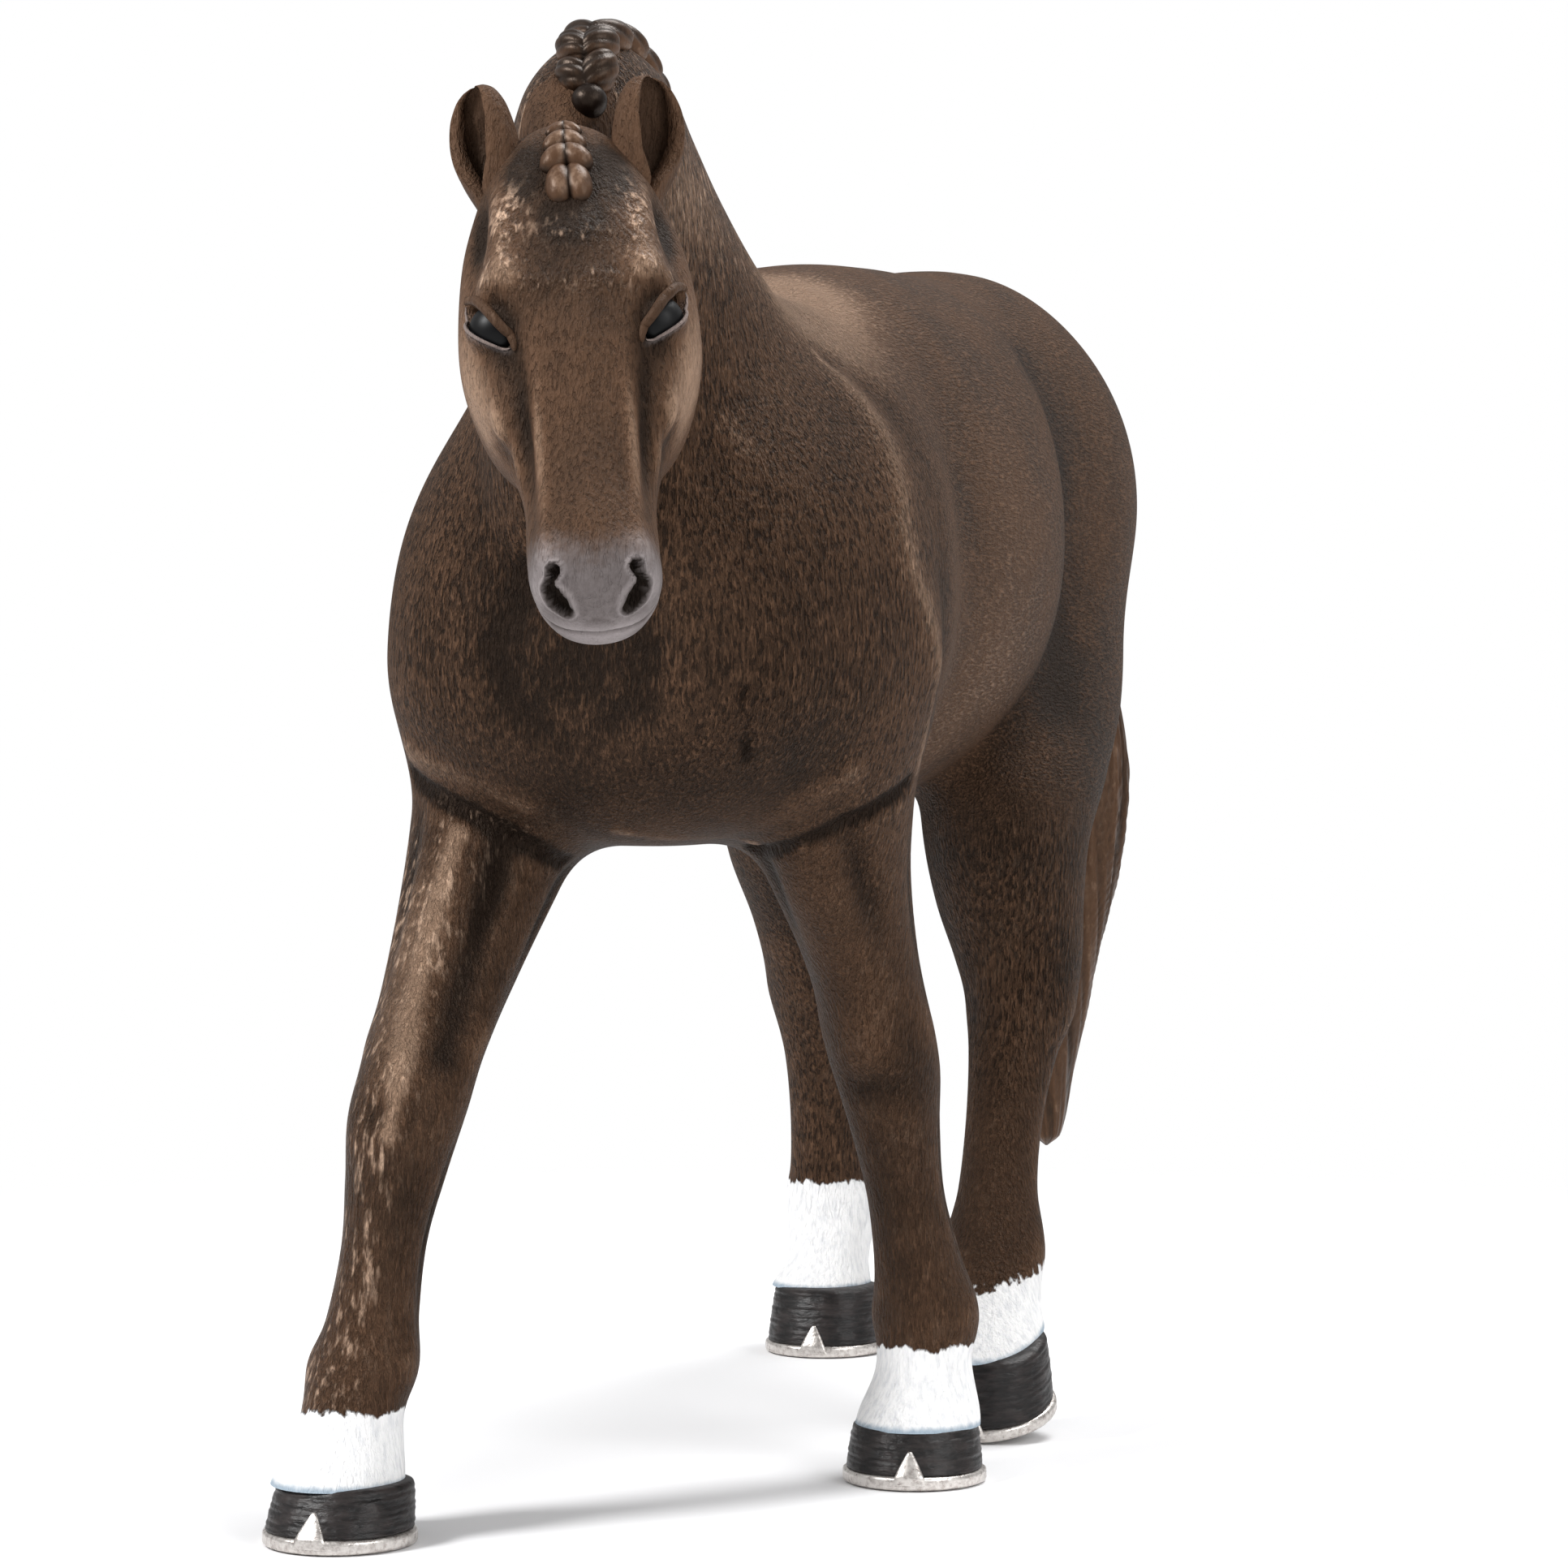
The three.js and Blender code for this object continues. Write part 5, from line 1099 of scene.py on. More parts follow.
def plait_paint(name, looks):
    """Glossy dark brown over strands, with pale brushing on their ridges and outer sides as painted
    light, darker on their inner sides, and near-black painted shade where the lobes meet."""
    paint = Paint(name)
    proud, strand, ink = paint.mark("proud"), paint.mark("strand"), paint.mark("ink")
    grain = paint.noise(0.3, (1, 1, 2), detail=4.0, rough=0.65)
    patch = paint.noise(1.6, detail=2.0)
    # Painted light and shade: darker and paler by how far the lobes stand proud.
    tone = (proud * 0.6 + strand * 0.3 + (grain - 0.5) * 0.8 + 0.25).step(-0.2, 0.8)
    brown = tone.blend(tuple(looks.wash_and_shade), tuple(looks.mane))
    dust_and_light = (proud * 0.8 + strand * 0.5 + (grain - 0.5) * 1.2 + (patch - 0.5) * 1.4).step(0.5, 1.25)
    base = (dust_and_light * 0.5).blend(brown, tuple(looks.dusting_and_highlight))
    base = ink.blend(base, colour(0.07, 0.045, 0.035))
    normal = paint.bump(strand * 0.8 + grain * 0.5, 0.08)
    rough = grain * 0.25 + 0.24
    constants = {"Specular IOR Level": 0.5, "IOR": 1.36, "Specular Tint": colour(*WARM_SHEEN)}
    return paint.finish(constants, {"Base Color": base, "Roughness": rough, "Normal": normal})


def hoof_paint(name, looks):
    """Near-black paint with level brush streaks."""
    paint = Paint(name)
    streak = paint.noise(0.4, (4, 4, 1), detail=4.0, rough=0.65)
    patch = paint.noise(1.6, (1, 1, 0.6), detail=2.0)
    share = (streak * 0.7 + patch * 0.5).step(0.45, 0.85)
    base = share.blend(colour(0.06, 0.052, 0.052), tuple(looks.hoof))
    rough = streak * 0.3 + 0.26
    normal = paint.bump(streak + patch * 1.6, 0.1)
    wires = {"Base Color": base, "Roughness": rough, "Normal": normal}
    return paint.finish({"Specular IOR Level": 0.32}, wires)


def shoe_paint(name, looks):
    """Bright silver paint, a little uneven."""
    paint = Paint(name)
    grain = paint.noise(0.45, detail=4.0, rough=0.65)
    base = grain.step(0.3, 0.62).blend(colour(0.7, 0.67, 0.65), tuple(looks.shoe))
    rough = grain * 0.3 + 0.16
    normal = paint.bump(grain, 0.05)
    return paint.finish({"Metallic": 0.85}, {"Base Color": base, "Roughness": rough, "Normal": normal})


def eye_paint(name, looks):
    """Glossy black with faint grey patches in a noise, a painted reflection."""
    paint = Paint(name)
    painted_reflection = paint.noise(1.1, detail=2.0).step(0.45, 0.8)
    base = painted_reflection.blend(tuple(looks.eye), colour(0.06, 0.065, 0.07))
    rough = painted_reflection * 0.12 + 0.42
    return paint.finish({"Specular IOR Level": 0.2}, {"Base Color": base, "Roughness": rough})


# Properties
def size_property(label, metres, about):
    """A length that the user can change."""
    return bpy.props.FloatProperty(
        name=label, default=metres, min=0.0, unit="LENGTH", precision=5, description=about)


def colour_property(label, red, green, blue, about):
    """A colour that the user can change, given as a display colour."""
    return bpy.props.FloatVectorProperty(name=label, subtype="COLOR", size=4, min=0.0, max=1.0,
                                         default=colour(red, green, blue), description=about)


class HorseSizes(bpy.types.PropertyGroup):
    """Sizes of the horse, in metres."""

    trunk_length: size_property("Trunk length", 0.1035, "Breast to buttock")
    trunk_half_width: size_property("Trunk half width", 0.019, "Half the width at the shoulders")
    trunk_half_depth: size_property("Trunk half depth", 0.021, "About half of withers to brisket")
    neck_length: size_property("Neck length", 0.0363, "Root to poll along the neck's axis")
    neck_half_width: size_property("Neck half width", 0.014, "Half the width at the root")
    neck_half_depth: size_property("Neck half depth", 0.018, "Half of crest to throat at the root")
    head_length: size_property("Head length", 0.0368, "Poll to lip")
    head_half_width: size_property("Head half width", 0.0076, "Half the width at the eyes")
    head_depth: size_property("Head depth", 0.0106, "Head axis to the edge of the jaw")
    axis_above_elbow: size_property("Axis above elbow", 0.008, "Trunk's axis above the legs")
    leg_height: size_property("Leg height", 0.06, "Ground to the inside of the shoulder and thigh")
    knee_width: size_property("Knee width", 0.008, "Width of the knee, the unit of the leg tables")
    eye_radius: size_property("Eye radius", 0.0019, "Radius of the eyeball")
    ear_length: size_property("Ear length", 0.0089, "Root to tip")
    ear_half_width: size_property("Ear half width", 0.0027, "Half the ear's width")
    ear_depth: size_property("Ear depth", 0.0019, "Half the ear's depth, back to opening")
    ear_wall: size_property("Ear wall", 0.0009, "Thickness of the ear's shell")
    mane_half_width: size_property("Mane half width", 0.0018, "Half the width of the mane's plait")
    mane_half_depth: size_property("Mane half depth", 0.0014, "Half the depth of the mane's plait")
    poll_knot_radius: size_property("Poll knot radius", 0.0012, "Radius of the knot at the poll")
    forelock_half_width: size_property("Forelock half width", 0.0014, "Half the forelock's width")
    forelock_half_depth: size_property("Forelock half depth", 0.00095, "Half the forelock's depth")
    hoof_half_width: size_property("Hoof half width", 0.005, "Half the width of the sole")
    hoof_toe_reach: size_property("Toe reach", 0.0052, "Middle of the sole to the toe")
    hoof_heel_reach: size_property("Heel reach", 0.0046, "Middle of the sole to the heels")
    hoof_lean: size_property("Hoof lean", 0.0011, "The coronet lies this far behind the sole")
    shoe_thickness: size_property("Shoe thickness", 0.0011, "Thickness of the iron")
    shoe_web: size_property("Shoe web", 0.0021, "Width of the iron seen from below")
    shoe_overhang: size_property("Shoe overhang", 0.0003, "The shoe stands proud of the wall by this")
    clip_height: size_property("Toe clip height", 0.0017, "Height of the toe clip above the iron")
    clip_half_width: size_property("Toe clip half width", 0.00125, "Half the width of the clip's foot")
    tail_length: size_property("Tail length", 0.07, "Dock to tip")
    tail_half_width: size_property("Tail half width", 0.005, "Half the width at the fullest place")
    coat_cell: size_property("Coat cell", 0.00045, "Grid step of the trunk's skin")
    neck_cell: size_property("Neck cell", 0.00035, "Grid step of the neck's skin")
    leg_cell: size_property("Leg cell", 0.0003, "Grid step of the legs' skin")
    head_cell: size_property("Head cell", 0.0002, "Grid step of the head's skin")


class HorseLooks(bpy.types.PropertyGroup):
    """Colours of the paints."""

    coat: colour_property("Coat", 0.348, 0.254, 0.19, "Brown of the coat")
    # Wash: the dark end of the coat's tone, painted shade in hollows and shaded places and darker patches.
    wash_and_shade: colour_property("Wash", 0.115, 0.08, 0.058, "Dark wash in the hollows")
    # Dusting: pale dry brushing, also a painted highlight on raised and lit places.
    dusting_and_highlight: colour_property("Dusting", 0.68, 0.565, 0.475, "Pale dry brushing on raised forms")
    # A painted highlight: the colour of the bright flecks on glossy crinkles.
    painted_glint: colour_property("Glint", 0.84, 0.71, 0.61, "Bright flakes on the glossy crinkles")
    mane: colour_property("Mane", 0.345, 0.245, 0.176, "Brown of the plaits and the tail")
    muzzle: colour_property("Muzzle", 0.345, 0.32, 0.318, "Grey of the muzzle")
    lip: colour_property("Lip", 0.61, 0.58, 0.58, "Pale edges of lip and nostrils")
    sock: colour_property("Sock", 0.93, 0.93, 0.93, "White of the socks")
    sock_shade: colour_property("Sock shade", 0.85, 0.855, 0.865, "Grey streaks in the socks")
    coronet: colour_property("Coronet", 0.60, 0.66, 0.71, "Bluish line at the coronet")
    hoof: colour_property("Hoof", 0.18, 0.155, 0.15, "Streaks in the black of the hooves")
    shoe: colour_property("Shoe", 0.86, 0.84, 0.82, "Silver of the shoes")
    eye: colour_property("Eye", 0.015, 0.015, 0.02, "Black of the eyes")


def eye_marks(horse, points):
    """Ink between the lids and a pale line round them, and the push that forms the lids."""
    ink = np.zeros(len(points))
    rim = np.zeros(len(points))
    push = np.zeros(len(points))
    radius = mm(horse.sizes.eye_radius)
    for side in (1, -1):
        value, away, low = horse.lids(points, side)
        near = smooth_step(3.2, 2.0, away / radius * 1.9)
        cover = np.maximum(radius + 0.3 - away, 0) * smooth_step(3.0, 1.15, value)
        sink = np.minimum(radius - 0.9 - away, 0)
        push += np.where(value < 1.0, sink, cover) * near
        ink = np.maximum(ink, smooth_step(1.1, 0.95, value) * near)
        rim = np.maximum(rim, smooth_step(1.0, 1.12, value) * smooth_step(1.42, 1.2, value) * near * low)
    return push, ink, rim


def sampled_skin(horse, limbs, low, high, cell):
    """The coat in a box: the surface net of the field, settled on its zero level, and its normals."""
    low, high = np.asarray(low, float), np.asarray(high, float)
    counts = np.ceil((high - low) / cell).astype(int) + 1
    axes = [low[k] + cell * np.arange(counts[k]) for k in range(3)]
    grid = np.stack(np.meshgrid(*axes, indexing="ij"), -1).reshape(-1, 3)
    values = np.concatenate([horse.field(part, limbs) for part in np.array_split(grid, GRID_PARTS)])
    points, faces = surface_net(values.reshape(counts), low, cell)
    points, normals = horse.settle(points, limbs)
    return points, faces, normals


def body_gloss(points, normals):
    """Gloss and painted highlights on the lit side of the right foreleg, and on the top of the crest."""
    in_front = smooth_step(-26.0, -38.0, points[:, 1]) * (points[:, 0] < 0)
    lit = smooth_step(0.2, 0.85, normals @ unit(LIT_SIDE))
    leg = smooth_step(52.0, 46.0, points[:, 2]) * (0.05 + 0.65 * lit * in_front)
    crest = smooth_step(84.0, 92.0, points[:, 2]) * smooth_step(-22.0, -34.0, points[:, 1])
    return np.maximum(leg, 0.6 * crest)


def face_skin(horse, points, normals, height):
    """The face moved out by its forms and lids and in at the nostrils, with its marks: grey on the
    muzzle, near-black in the holes, the mouth and the eyes, pale edges round them, and glossy patches
    with painted highlights."""
    along, across, up = places = horse.face_places(points)
    hole = horse.nostrils(points)
    height = height - 0.9 * smooth_step(1.2, 0.5, hole) + 0.22 * smooth_step(2.0, 1.3, hole)
    points = points + normals * height[:, None]
    push, ink, rim = eye_marks(horse, points)
    points = points + normals * push[:, None]
    middle, half, _ = MOUTH_LINE
    mouth = np.exp(-((up - middle) / (0.8 * half)) ** 2) * smooth_step(32.0, 34.0, along)
    nostril_rim = smooth_step(1.3, 1.5, hole) * smooth_step(2.1, 1.7, hole) * 0.5
    lip = smooth_step(35.8, 36.8, along) * smooth_step(1.2, -0.2, up) * 0.6
    marks = {
        "muzzle": smooth_step(30.0, 36.5, along + 0.35 * (across - 2.0)),
        "ink": np.maximum(np.maximum(ink, smooth_step(1.35, 0.95, hole)), 0.75 * mouth),
        "pale": np.maximum(np.maximum(rim * 0.25, nostril_rim), lip),
        # Gloss and painted highlights on the brows and forehead.
        "gloss": horse.bells(places, FACE_GLOSS_AND_HIGHLIGHTS),
    }
    return points, marks


def foot_marks(horse, points):
    """Heights above the sock's edge and above the coronet, along the foot that is near."""
    sock = np.full(len(points), NO_FOOT)
    coronet = np.full(len(points), NO_FOOT)
    for matrix, sock_height, coronet_height in horse.feet.values():
        rise = (points - matrix[:3, 3]) @ matrix[:3, 2]
        near = np.hypot(points[:, 0] - matrix[0, 3], points[:, 1] - matrix[1, 3]) < 14
        near &= points[:, 2] < 22
        sock = np.where(near, np.minimum(sock, rise - sock_height), sock)
        coronet = np.where(near, np.minimum(coronet, rise - coronet_height), coronet)
    return {"sock": sock, "coronet": coronet}


def skin_piece(horse, name, nodes, material, box, cell, planes, is_head=False):
    """One piece of the coat: the skin in a box, with muscles and the forms of the face laid on
    along its normals, then cut at the seams. Each plane keeps what lies ahead of it."""
    limbs = horse.front if is_head else horse.limbs
    points, faces, normals = sampled_skin(horse, limbs, *box, cell)
    marks = {key: np.zeros(len(points)) for key in COAT_MARKS}
    marks["proud"] = horse.proud(points, limbs, is_head)
    marks["down"] = np.maximum(smooth_step(52.0, 44.0, points[:, 2]), smooth_step(-6.0, -26.0, points[:, 1]))
    height = horse.relief(points, is_head)
    if is_head:
        points, face = face_skin(horse, points, normals, height)
        marks.update(face)
    else:
        # Gloss and painted highlights on the foreleg's lit side and on the crest.
        marks["gloss"] = body_gloss(points, normals)
        points = points + normals * height[:, None]
    marks["leg"] = smooth_step(58.0, 46.0, points[:, 2] + 0.5 * np.maximum(points[:, 1] + 34.0, 0))
    # Painted light and shade from the tables of shades and lines.
    marks["brushed"] = horse.shades(points, is_head)
    marks.update(foot_marks(horse, points))
    mesh = mesh_from(name, points, faces, horse.shift, marks)
    cuts = [(Vector((np.asarray(p) + horse.shift) / 1000.0), Vector(n)) for p, n in planes]
    cut_mesh(mesh, cuts)
    add_piece(name, mesh, material, nodes)


def leg_box(limb, top):
    """A box about a leg up to a height, with a margin of three millimetres to the sides."""
    place = np.linspace(limb.start, limb.end, limb.samples)
    x, y, wide, _, behind, before, _ = limb.table[place < top].T
    low = ((x - wide).min() - 3, (y - before).min() - 3, 0.0)
    return low, ((x + wide).max() + 3, (y + behind).max() + 3, top)


class TOYHORSE_OT_coat(bpy.types.Operator):
    """Builds the coat: trunk, neck, head, legs and socks"""

    bl_idname = "toyhorse.coat"
    bl_label = "Coat"

    def execute(self, context):
        sizes, looks = context.scene.horse_sizes, context.scene.horse_looks
        horse = Horse(sizes)
        coat = coat_paint("coat_paint", looks)
        face = coat_paint("face_paint", looks, 0.3)
        sock_paint = coat_paint("sock_paint", looks)
        length, _, depth = horse.trunk_units
        neck_point = horse.trunk.point(0.285 * length, 0, depth)
        head_point = horse.on_head(0.117, 0, -0.391)
        neck_normal, head_normal = unit(NECK_SEAM_NORMAL), unit(HEAD_SEAM_NORMAL)
        seam = horse.trunk.origin[2] - depth - 1.0
        level, up = (0, 0, seam), np.array((0, 0, 1.0))
        skin_piece(horse, "trunk_skin", ["trunk"], coat, TRUNK_BOX, mm(sizes.coat_cell),
                   [(level, up), (neck_point, -neck_normal)])
        skin_piece(horse, "neck_skin", ["neck"], coat, NECK_BOX, mm(sizes.neck_cell),
                   [(neck_point, neck_normal), (head_point, -head_normal), (level, up)])
        skin_piece(horse, "head_skin", ["head"], face, HEAD_BOX, mm(sizes.head_cell),
                   [(head_point, head_normal)], is_head=True)
        cell = mm(sizes.leg_cell)
        for (name, (matrix, sock_height, coronet)), (limb, _) in zip(horse.feet.items(), horse.limbs[2:6]):
            normal = matrix[:3, 2]
            sock_point = matrix[:3, 3] + normal * sock_height
            hoof_point = matrix[:3, 3] + normal * coronet
            low, high = leg_box(limb, seam + 2)
            skin_piece(horse, name + "_leg_skin", [name + "_leg"], coat, (low, high), cell,
                       [(level, -up), (sock_point, normal)])
            skin_piece(horse, name + "_sock_skin", [name + "_sock"], sock_paint,
                       (low, (*high[:2], sock_height + 10)), cell,
                       [(sock_point, -normal), (hoof_point, normal)])
        return {"FINISHED"}


def foot_rings(horse, matrix, heights, share, back, wave):
    """Level superellipse rings of a foot in its own frame, pushed out by a relief: from their
    heights, their share of the sole's size and how far back they lie."""
    sizes = horse.sizes
    angle = np.linspace(0, 2 * np.pi, 72, endpoint=False)[None, :]
    heights, share, back = (np.asarray(v, float)[:, None] for v in (heights, share, back))
    x, y = superellipse(angle, HOOF_POWER)
    push = wave(heights, angle)
    half = mm(sizes.hoof_half_width) * share + push
    length = np.where(y >= 0, mm(sizes.hoof_heel_reach), mm(sizes.hoof_toe_reach)) * share + push
    return placed(np.stack(np.broadcast_arrays(x * half, y * length + back, heights), -1), matrix)


def hoof_shell(horse, matrix, coronet, seed):
    """A hoof: rings that lean back to the coronet, with fine level growth ridges, a rolled
    coronet edge at the top and a flat sole."""
    sizes = horse.sizes
    bottom, top = mm(sizes.shoe_thickness) + 0.02, coronet + 0.25
    rise = np.linspace(0, 1, 40)
    heights = bottom + (top - bottom) * rise
    lean = mm(sizes.hoof_lean) * rise
    share = 1.0 - 0.09 * rise + 0.012 * np.sin(rise * np.pi)
    share[-4:] -= np.array([0.004, 0.02, 0.06, 0.14])
    share[0] -= 0.01
    phase = np.random.default_rng(seed).uniform(0, 2 * np.pi, 6)

    def wave(height, angle):
        """The growth ridges: three sines up the hoof, each bent by a sine round it."""
        ridges = sum(np.sin(height * f + phase[k] + 0.7 * np.sin(angle * (k + 1) + phase[-k]))
                     for k, f in enumerate(HOOF_RIDGES))
        return 0.015 * ridges

    return closed_grid(foot_rings(horse, matrix, heights, share, lean, wave))


def iron_bar(sizes, matrix):
    """A horseshoe's bar: a rounded rectangle carried along the rim of the hoof from heel to heel,
    narrower towards the heels, with a shallow groove below."""
    over, web, thick = mm(sizes.shoe_overhang), mm(sizes.shoe_web), mm(sizes.shoe_thickness)
    half, toe = mm(sizes.hoof_half_width) + over, mm(sizes.hoof_toe_reach) + over
    heel = mm(sizes.hoof_heel_reach)
    turn = np.linspace(-1, 1, 120)
    angle = turn * math.radians(IRON_ANGLE)
    reach = np.where(np.abs(angle) < np.pi / 2, toe, heel * 1.08)
    path = np.stack([half * np.sin(angle), -reach * np.cos(angle)], -1)
    along = np.gradient(path, axis=0)
    along /= np.linalg.norm(along, axis=1, keepdims=True)
    inward = np.stack([-along[:, 1], along[:, 0]], -1)
    inward *= -np.sign((inward * path).sum(1))[:, None]
    theta = np.linspace(0, 2 * np.pi, 28, endpoint=False)
    across, up = superellipse(theta, IRON_POWER)
    width = (web / 2) * (1 - 0.22 * np.abs(turn) ** 3)[:, None]
    groove = 0.12 * np.exp(-((np.cos(theta) * 1.6) ** 2)) * (np.sin(theta) < -0.5)
    rings = np.empty((len(turn), len(theta), 3))
    rings[..., :2] = path[:, None] + inward[:, None] * (width + across * width)[..., None]
    rings[..., 2] = thick / 2 + up * thick / 2 + groove
    return closed_grid(placed(rings, matrix))


def toe_clip(sizes, matrix, coronet):
    """A horseshoe's toe clip: rounded sections that narrow upwards and lean back with the hoof."""
    thick = mm(sizes.shoe_thickness)
    rise = np.linspace(0, 1, 24)[:, None]
    angle = np.linspace(0, 2 * np.pi, 32, endpoint=False)[None]
    wide = mm(sizes.clip_half_width) * (1 - rise) ** 0.85 + 0.12
    deep = 0.26 * (1 - 0.45 * rise)
    lean = (mm(sizes.hoof_lean) + 0.09 * mm(sizes.hoof_toe_reach)) / (coronet - thick)
    z = thick * 0.4 + rise * (mm(sizes.clip_height) + thick * 0.6)
    across, back = superellipse(angle, CLIP_POWER)
    curve = (np.cos(angle) * wide) ** 2 / (2 * mm(sizes.hoof_half_width))
    front = -mm(sizes.hoof_toe_reach) - 0.12 + lean * np.maximum(z - thick, 0)
    rings = np.stack(np.broadcast_arrays(across * wide, front + curve + back * deep, z), -1)
    return closed_grid(placed(rings, matrix))


def plain_marks(points, **given):
    """The marks that the coat's paint reads, nought unless given, on a piece away from the feet."""
    marks = {**dict.fromkeys(COAT_MARKS, 0.0), "sock": NO_FOOT, "coronet": NO_FOOT, **given}
    return {key: np.broadcast_to(np.asarray(value, float), len(points)) for key, value in marks.items()}


class TOYHORSE_OT_feet(bpy.types.Operator):
    """Builds the hooves and their shoes"""

    bl_idname = "toyhorse.feet"
    bl_label = "Feet"

    def execute(self, context):
        looks = context.scene.horse_looks
        horse = Horse(context.scene.horse_sizes)
        black, silver = hoof_paint("hoof_paint", looks), shoe_paint("shoe_paint", looks)
        for seed, (name, (matrix, _, coronet)) in enumerate(horse.feet.items()):
            points, faces = hoof_shell(horse, matrix, coronet, seed)
            mesh = mesh_from(name + "_hoof_wall", points, outward(points, faces), horse.shift)
            add_piece(name + "_hoof_wall", mesh, black, [name + "_hoof"])
            points, faces = merged([iron_bar(horse.sizes, matrix), toe_clip(horse.sizes, matrix, coronet)])
            mesh = mesh_from(name + "_iron", points, faces, horse.shift)
            add_piece(name + "_iron", mesh, silver, [name + "_shoe"])
        return {"FINISHED"}


def ear_rings(horse, side, rise, share):
    """Rings up a cupped ear: each is a thick arc, its back outwards, that runs round the outer wall
    and back round the inner one. Its radius swells and closes to the tip, and its opening widens
    upwards."""
    sizes = horse.sizes
    root, tip = (horse.on_head(a, side * s, f) for a, s, f in (EAR_ROOT, EAR_TIP))
    opening = horse.head.up * (1.15 if side > 0 else 0.85) + horse.head.across * side
    axes = Axes(root, tip - root, opening)
    shares = rows_at(np.asarray(EAR_SHARES), rise.ravel())
    wide = mm(sizes.ear_half_width) * shares[:, :1]
    deep = mm(sizes.ear_depth) * shares[:, 1:]
    spread = np.interp(rise, [0, 0.2, 0.4, 0.7, 1], [3.05, 2.95, 2.5, 2.3, 2.3])
    wall = mm(sizes.ear_wall) * np.interp(rise, [0, 0.8, 1], [1.5, 1.15, 0.35])
    inner_wide, inner_deep = np.maximum(wide - wall, 0.02), np.maximum(deep - wall, 0.02)
    out_angle = share * spread
    in_angle = -share * (spread - 0.12)
    outer = np.stack([-np.cos(out_angle) * deep, np.sin(out_angle) * wide], -1)
    inner = np.stack([-np.cos(in_angle) * inner_deep, np.sin(in_angle) * inner_wide], -1)
    section = np.concatenate([outer, inner], 1)
    place = np.broadcast_to(rise * mm(sizes.ear_length), section.shape[:2])
    bend = 0.5 * np.sin(rise * np.pi) * side
    return axes.point(place, section[..., 0], section[..., 1] + bend)


def ear_shell(horse, side):
    """A cupped ear, with painted shade inside that fades to the tip and the edges, and a painted highlight on
    its proud edges.
    """
    count = 48
    rise = np.linspace(0, 1, 60)[:, None]
    share = np.linspace(-1, 1, count)[None]
    points, faces = closed_grid(ear_rings(horse, side, rise, share))
    share = np.concatenate([share, share], 1)
    inside = np.concatenate([np.zeros(count), np.ones(count)])
    # Painted shade in the ear's hollow, deepest low down and in the middle, and a painted highlight on its
    # rims.
    ink = inside * (0.85 - 0.6 * rise) * (1 - 0.8 * share ** 2)
    edge = np.broadcast_to(np.exp(-((np.abs(share) - 1) / 0.08) ** 2) * 0.3, ink.shape)
    ink, proud = (np.concatenate([values.ravel(), [0, 0]]) for values in (ink, edge))
    return points, faces, ink, proud


class TOYHORSE_OT_ears(bpy.types.Operator):
    """Builds the two cupped ears"""

    bl_idname = "toyhorse.ears"
    bl_label = "Ears"

    def execute(self, context):
        looks = context.scene.horse_looks
        horse = Horse(context.scene.horse_sizes)
        paint = coat_paint("ear_paint", looks, 0.25)
        for name, side in (("left_ear", 1), ("right_ear", -1)):
            points, faces, ink, proud = ear_shell(horse, side)
            marks = plain_marks(points, proud=proud, leg=0.5, down=1, ink=ink)
            mesh = mesh_from(name + "_cup", points, outward(points, faces), horse.shift, marks)
            add_piece(name + "_cup", mesh, paint, [name])
        return {"FINISHED"}


def lid_shell(line, radius):
    """A lid: a tube along its line whose radius is the radius given times the root of the sine
    from corner to corner."""
    share = np.linspace(0, 1, len(line))
    size = radius * np.maximum(np.sin(share * np.pi), 0.02) ** 0.5
    along = np.gradient(line, axis=0)
    along /= np.linalg.norm(along, axis=1, keepdims=True)
    side = np.cross(along, line - line.mean(0) + 0.01)
    side /= np.linalg.norm(side, axis=1, keepdims=True)
    up = np.cross(side, along)
    angle = np.linspace(0, 2 * np.pi, 20, endpoint=False)[None, :, None]
    ring = np.cos(angle) * side[:, None] + np.sin(angle) * up[:, None]
    return closed_grid(line[:, None] + size[:, None, None] * ring)


class TOYHORSE_OT_eyes(bpy.types.Operator):
    """Builds the two eyeballs, their heavy upper lids and the pale rims below"""

    bl_idname = "toyhorse.eyes"
    bl_label = "Eyes"

    def execute(self, context):
        looks = context.scene.horse_looks
        horse = Horse(context.scene.horse_sizes)
        paint = eye_paint("eye_paint", looks)
        skin = coat_paint("lid_paint", looks, 0.1)
        radius = mm(horse.sizes.eye_radius)
        for name, side in (("left_eye", 1), ("right_eye", -1)):
            points, faces = ellipsoid(horse.eye(side), np.eye(3), (radius, radius, radius))
            mesh = mesh_from(name + "_ball", points, outward(points, faces), horse.shift)
            add_piece(name + "_ball", mesh, paint, [name])
            lids = [lid_shell(horse.lid_line(side, lower, value), thick) for lower, value, thick in LIDS]
            points, faces = merged(lids)
            is_low = np.arange(len(points)) >= len(lids[0][0])
            marks = plain_marks(points, proud=0.15, brushed=0.1 * is_low, down=1, gloss=0.1,
                                ink=0.3 * ~is_low, pale=0.4 * is_low)
            mesh = mesh_from(name + "_lids", points, faces, horse.shift, marks)
            add_piece(name + "_lids", mesh, skin, ["head"])
        return {"FINISHED"}


def strands(count, depth, twist):
    """A relief of rounded strands that wind round an ellipsoid's axis: the size of a sine of the
    angle round it, turned with the angle down it, that fades to the poles."""
    def relief(polar, angle):
        wave = np.abs(np.sin(0.5 * count * (angle + twist * polar)))
        return depth * (wave - 0.6) * np.sin(polar)
    return relief


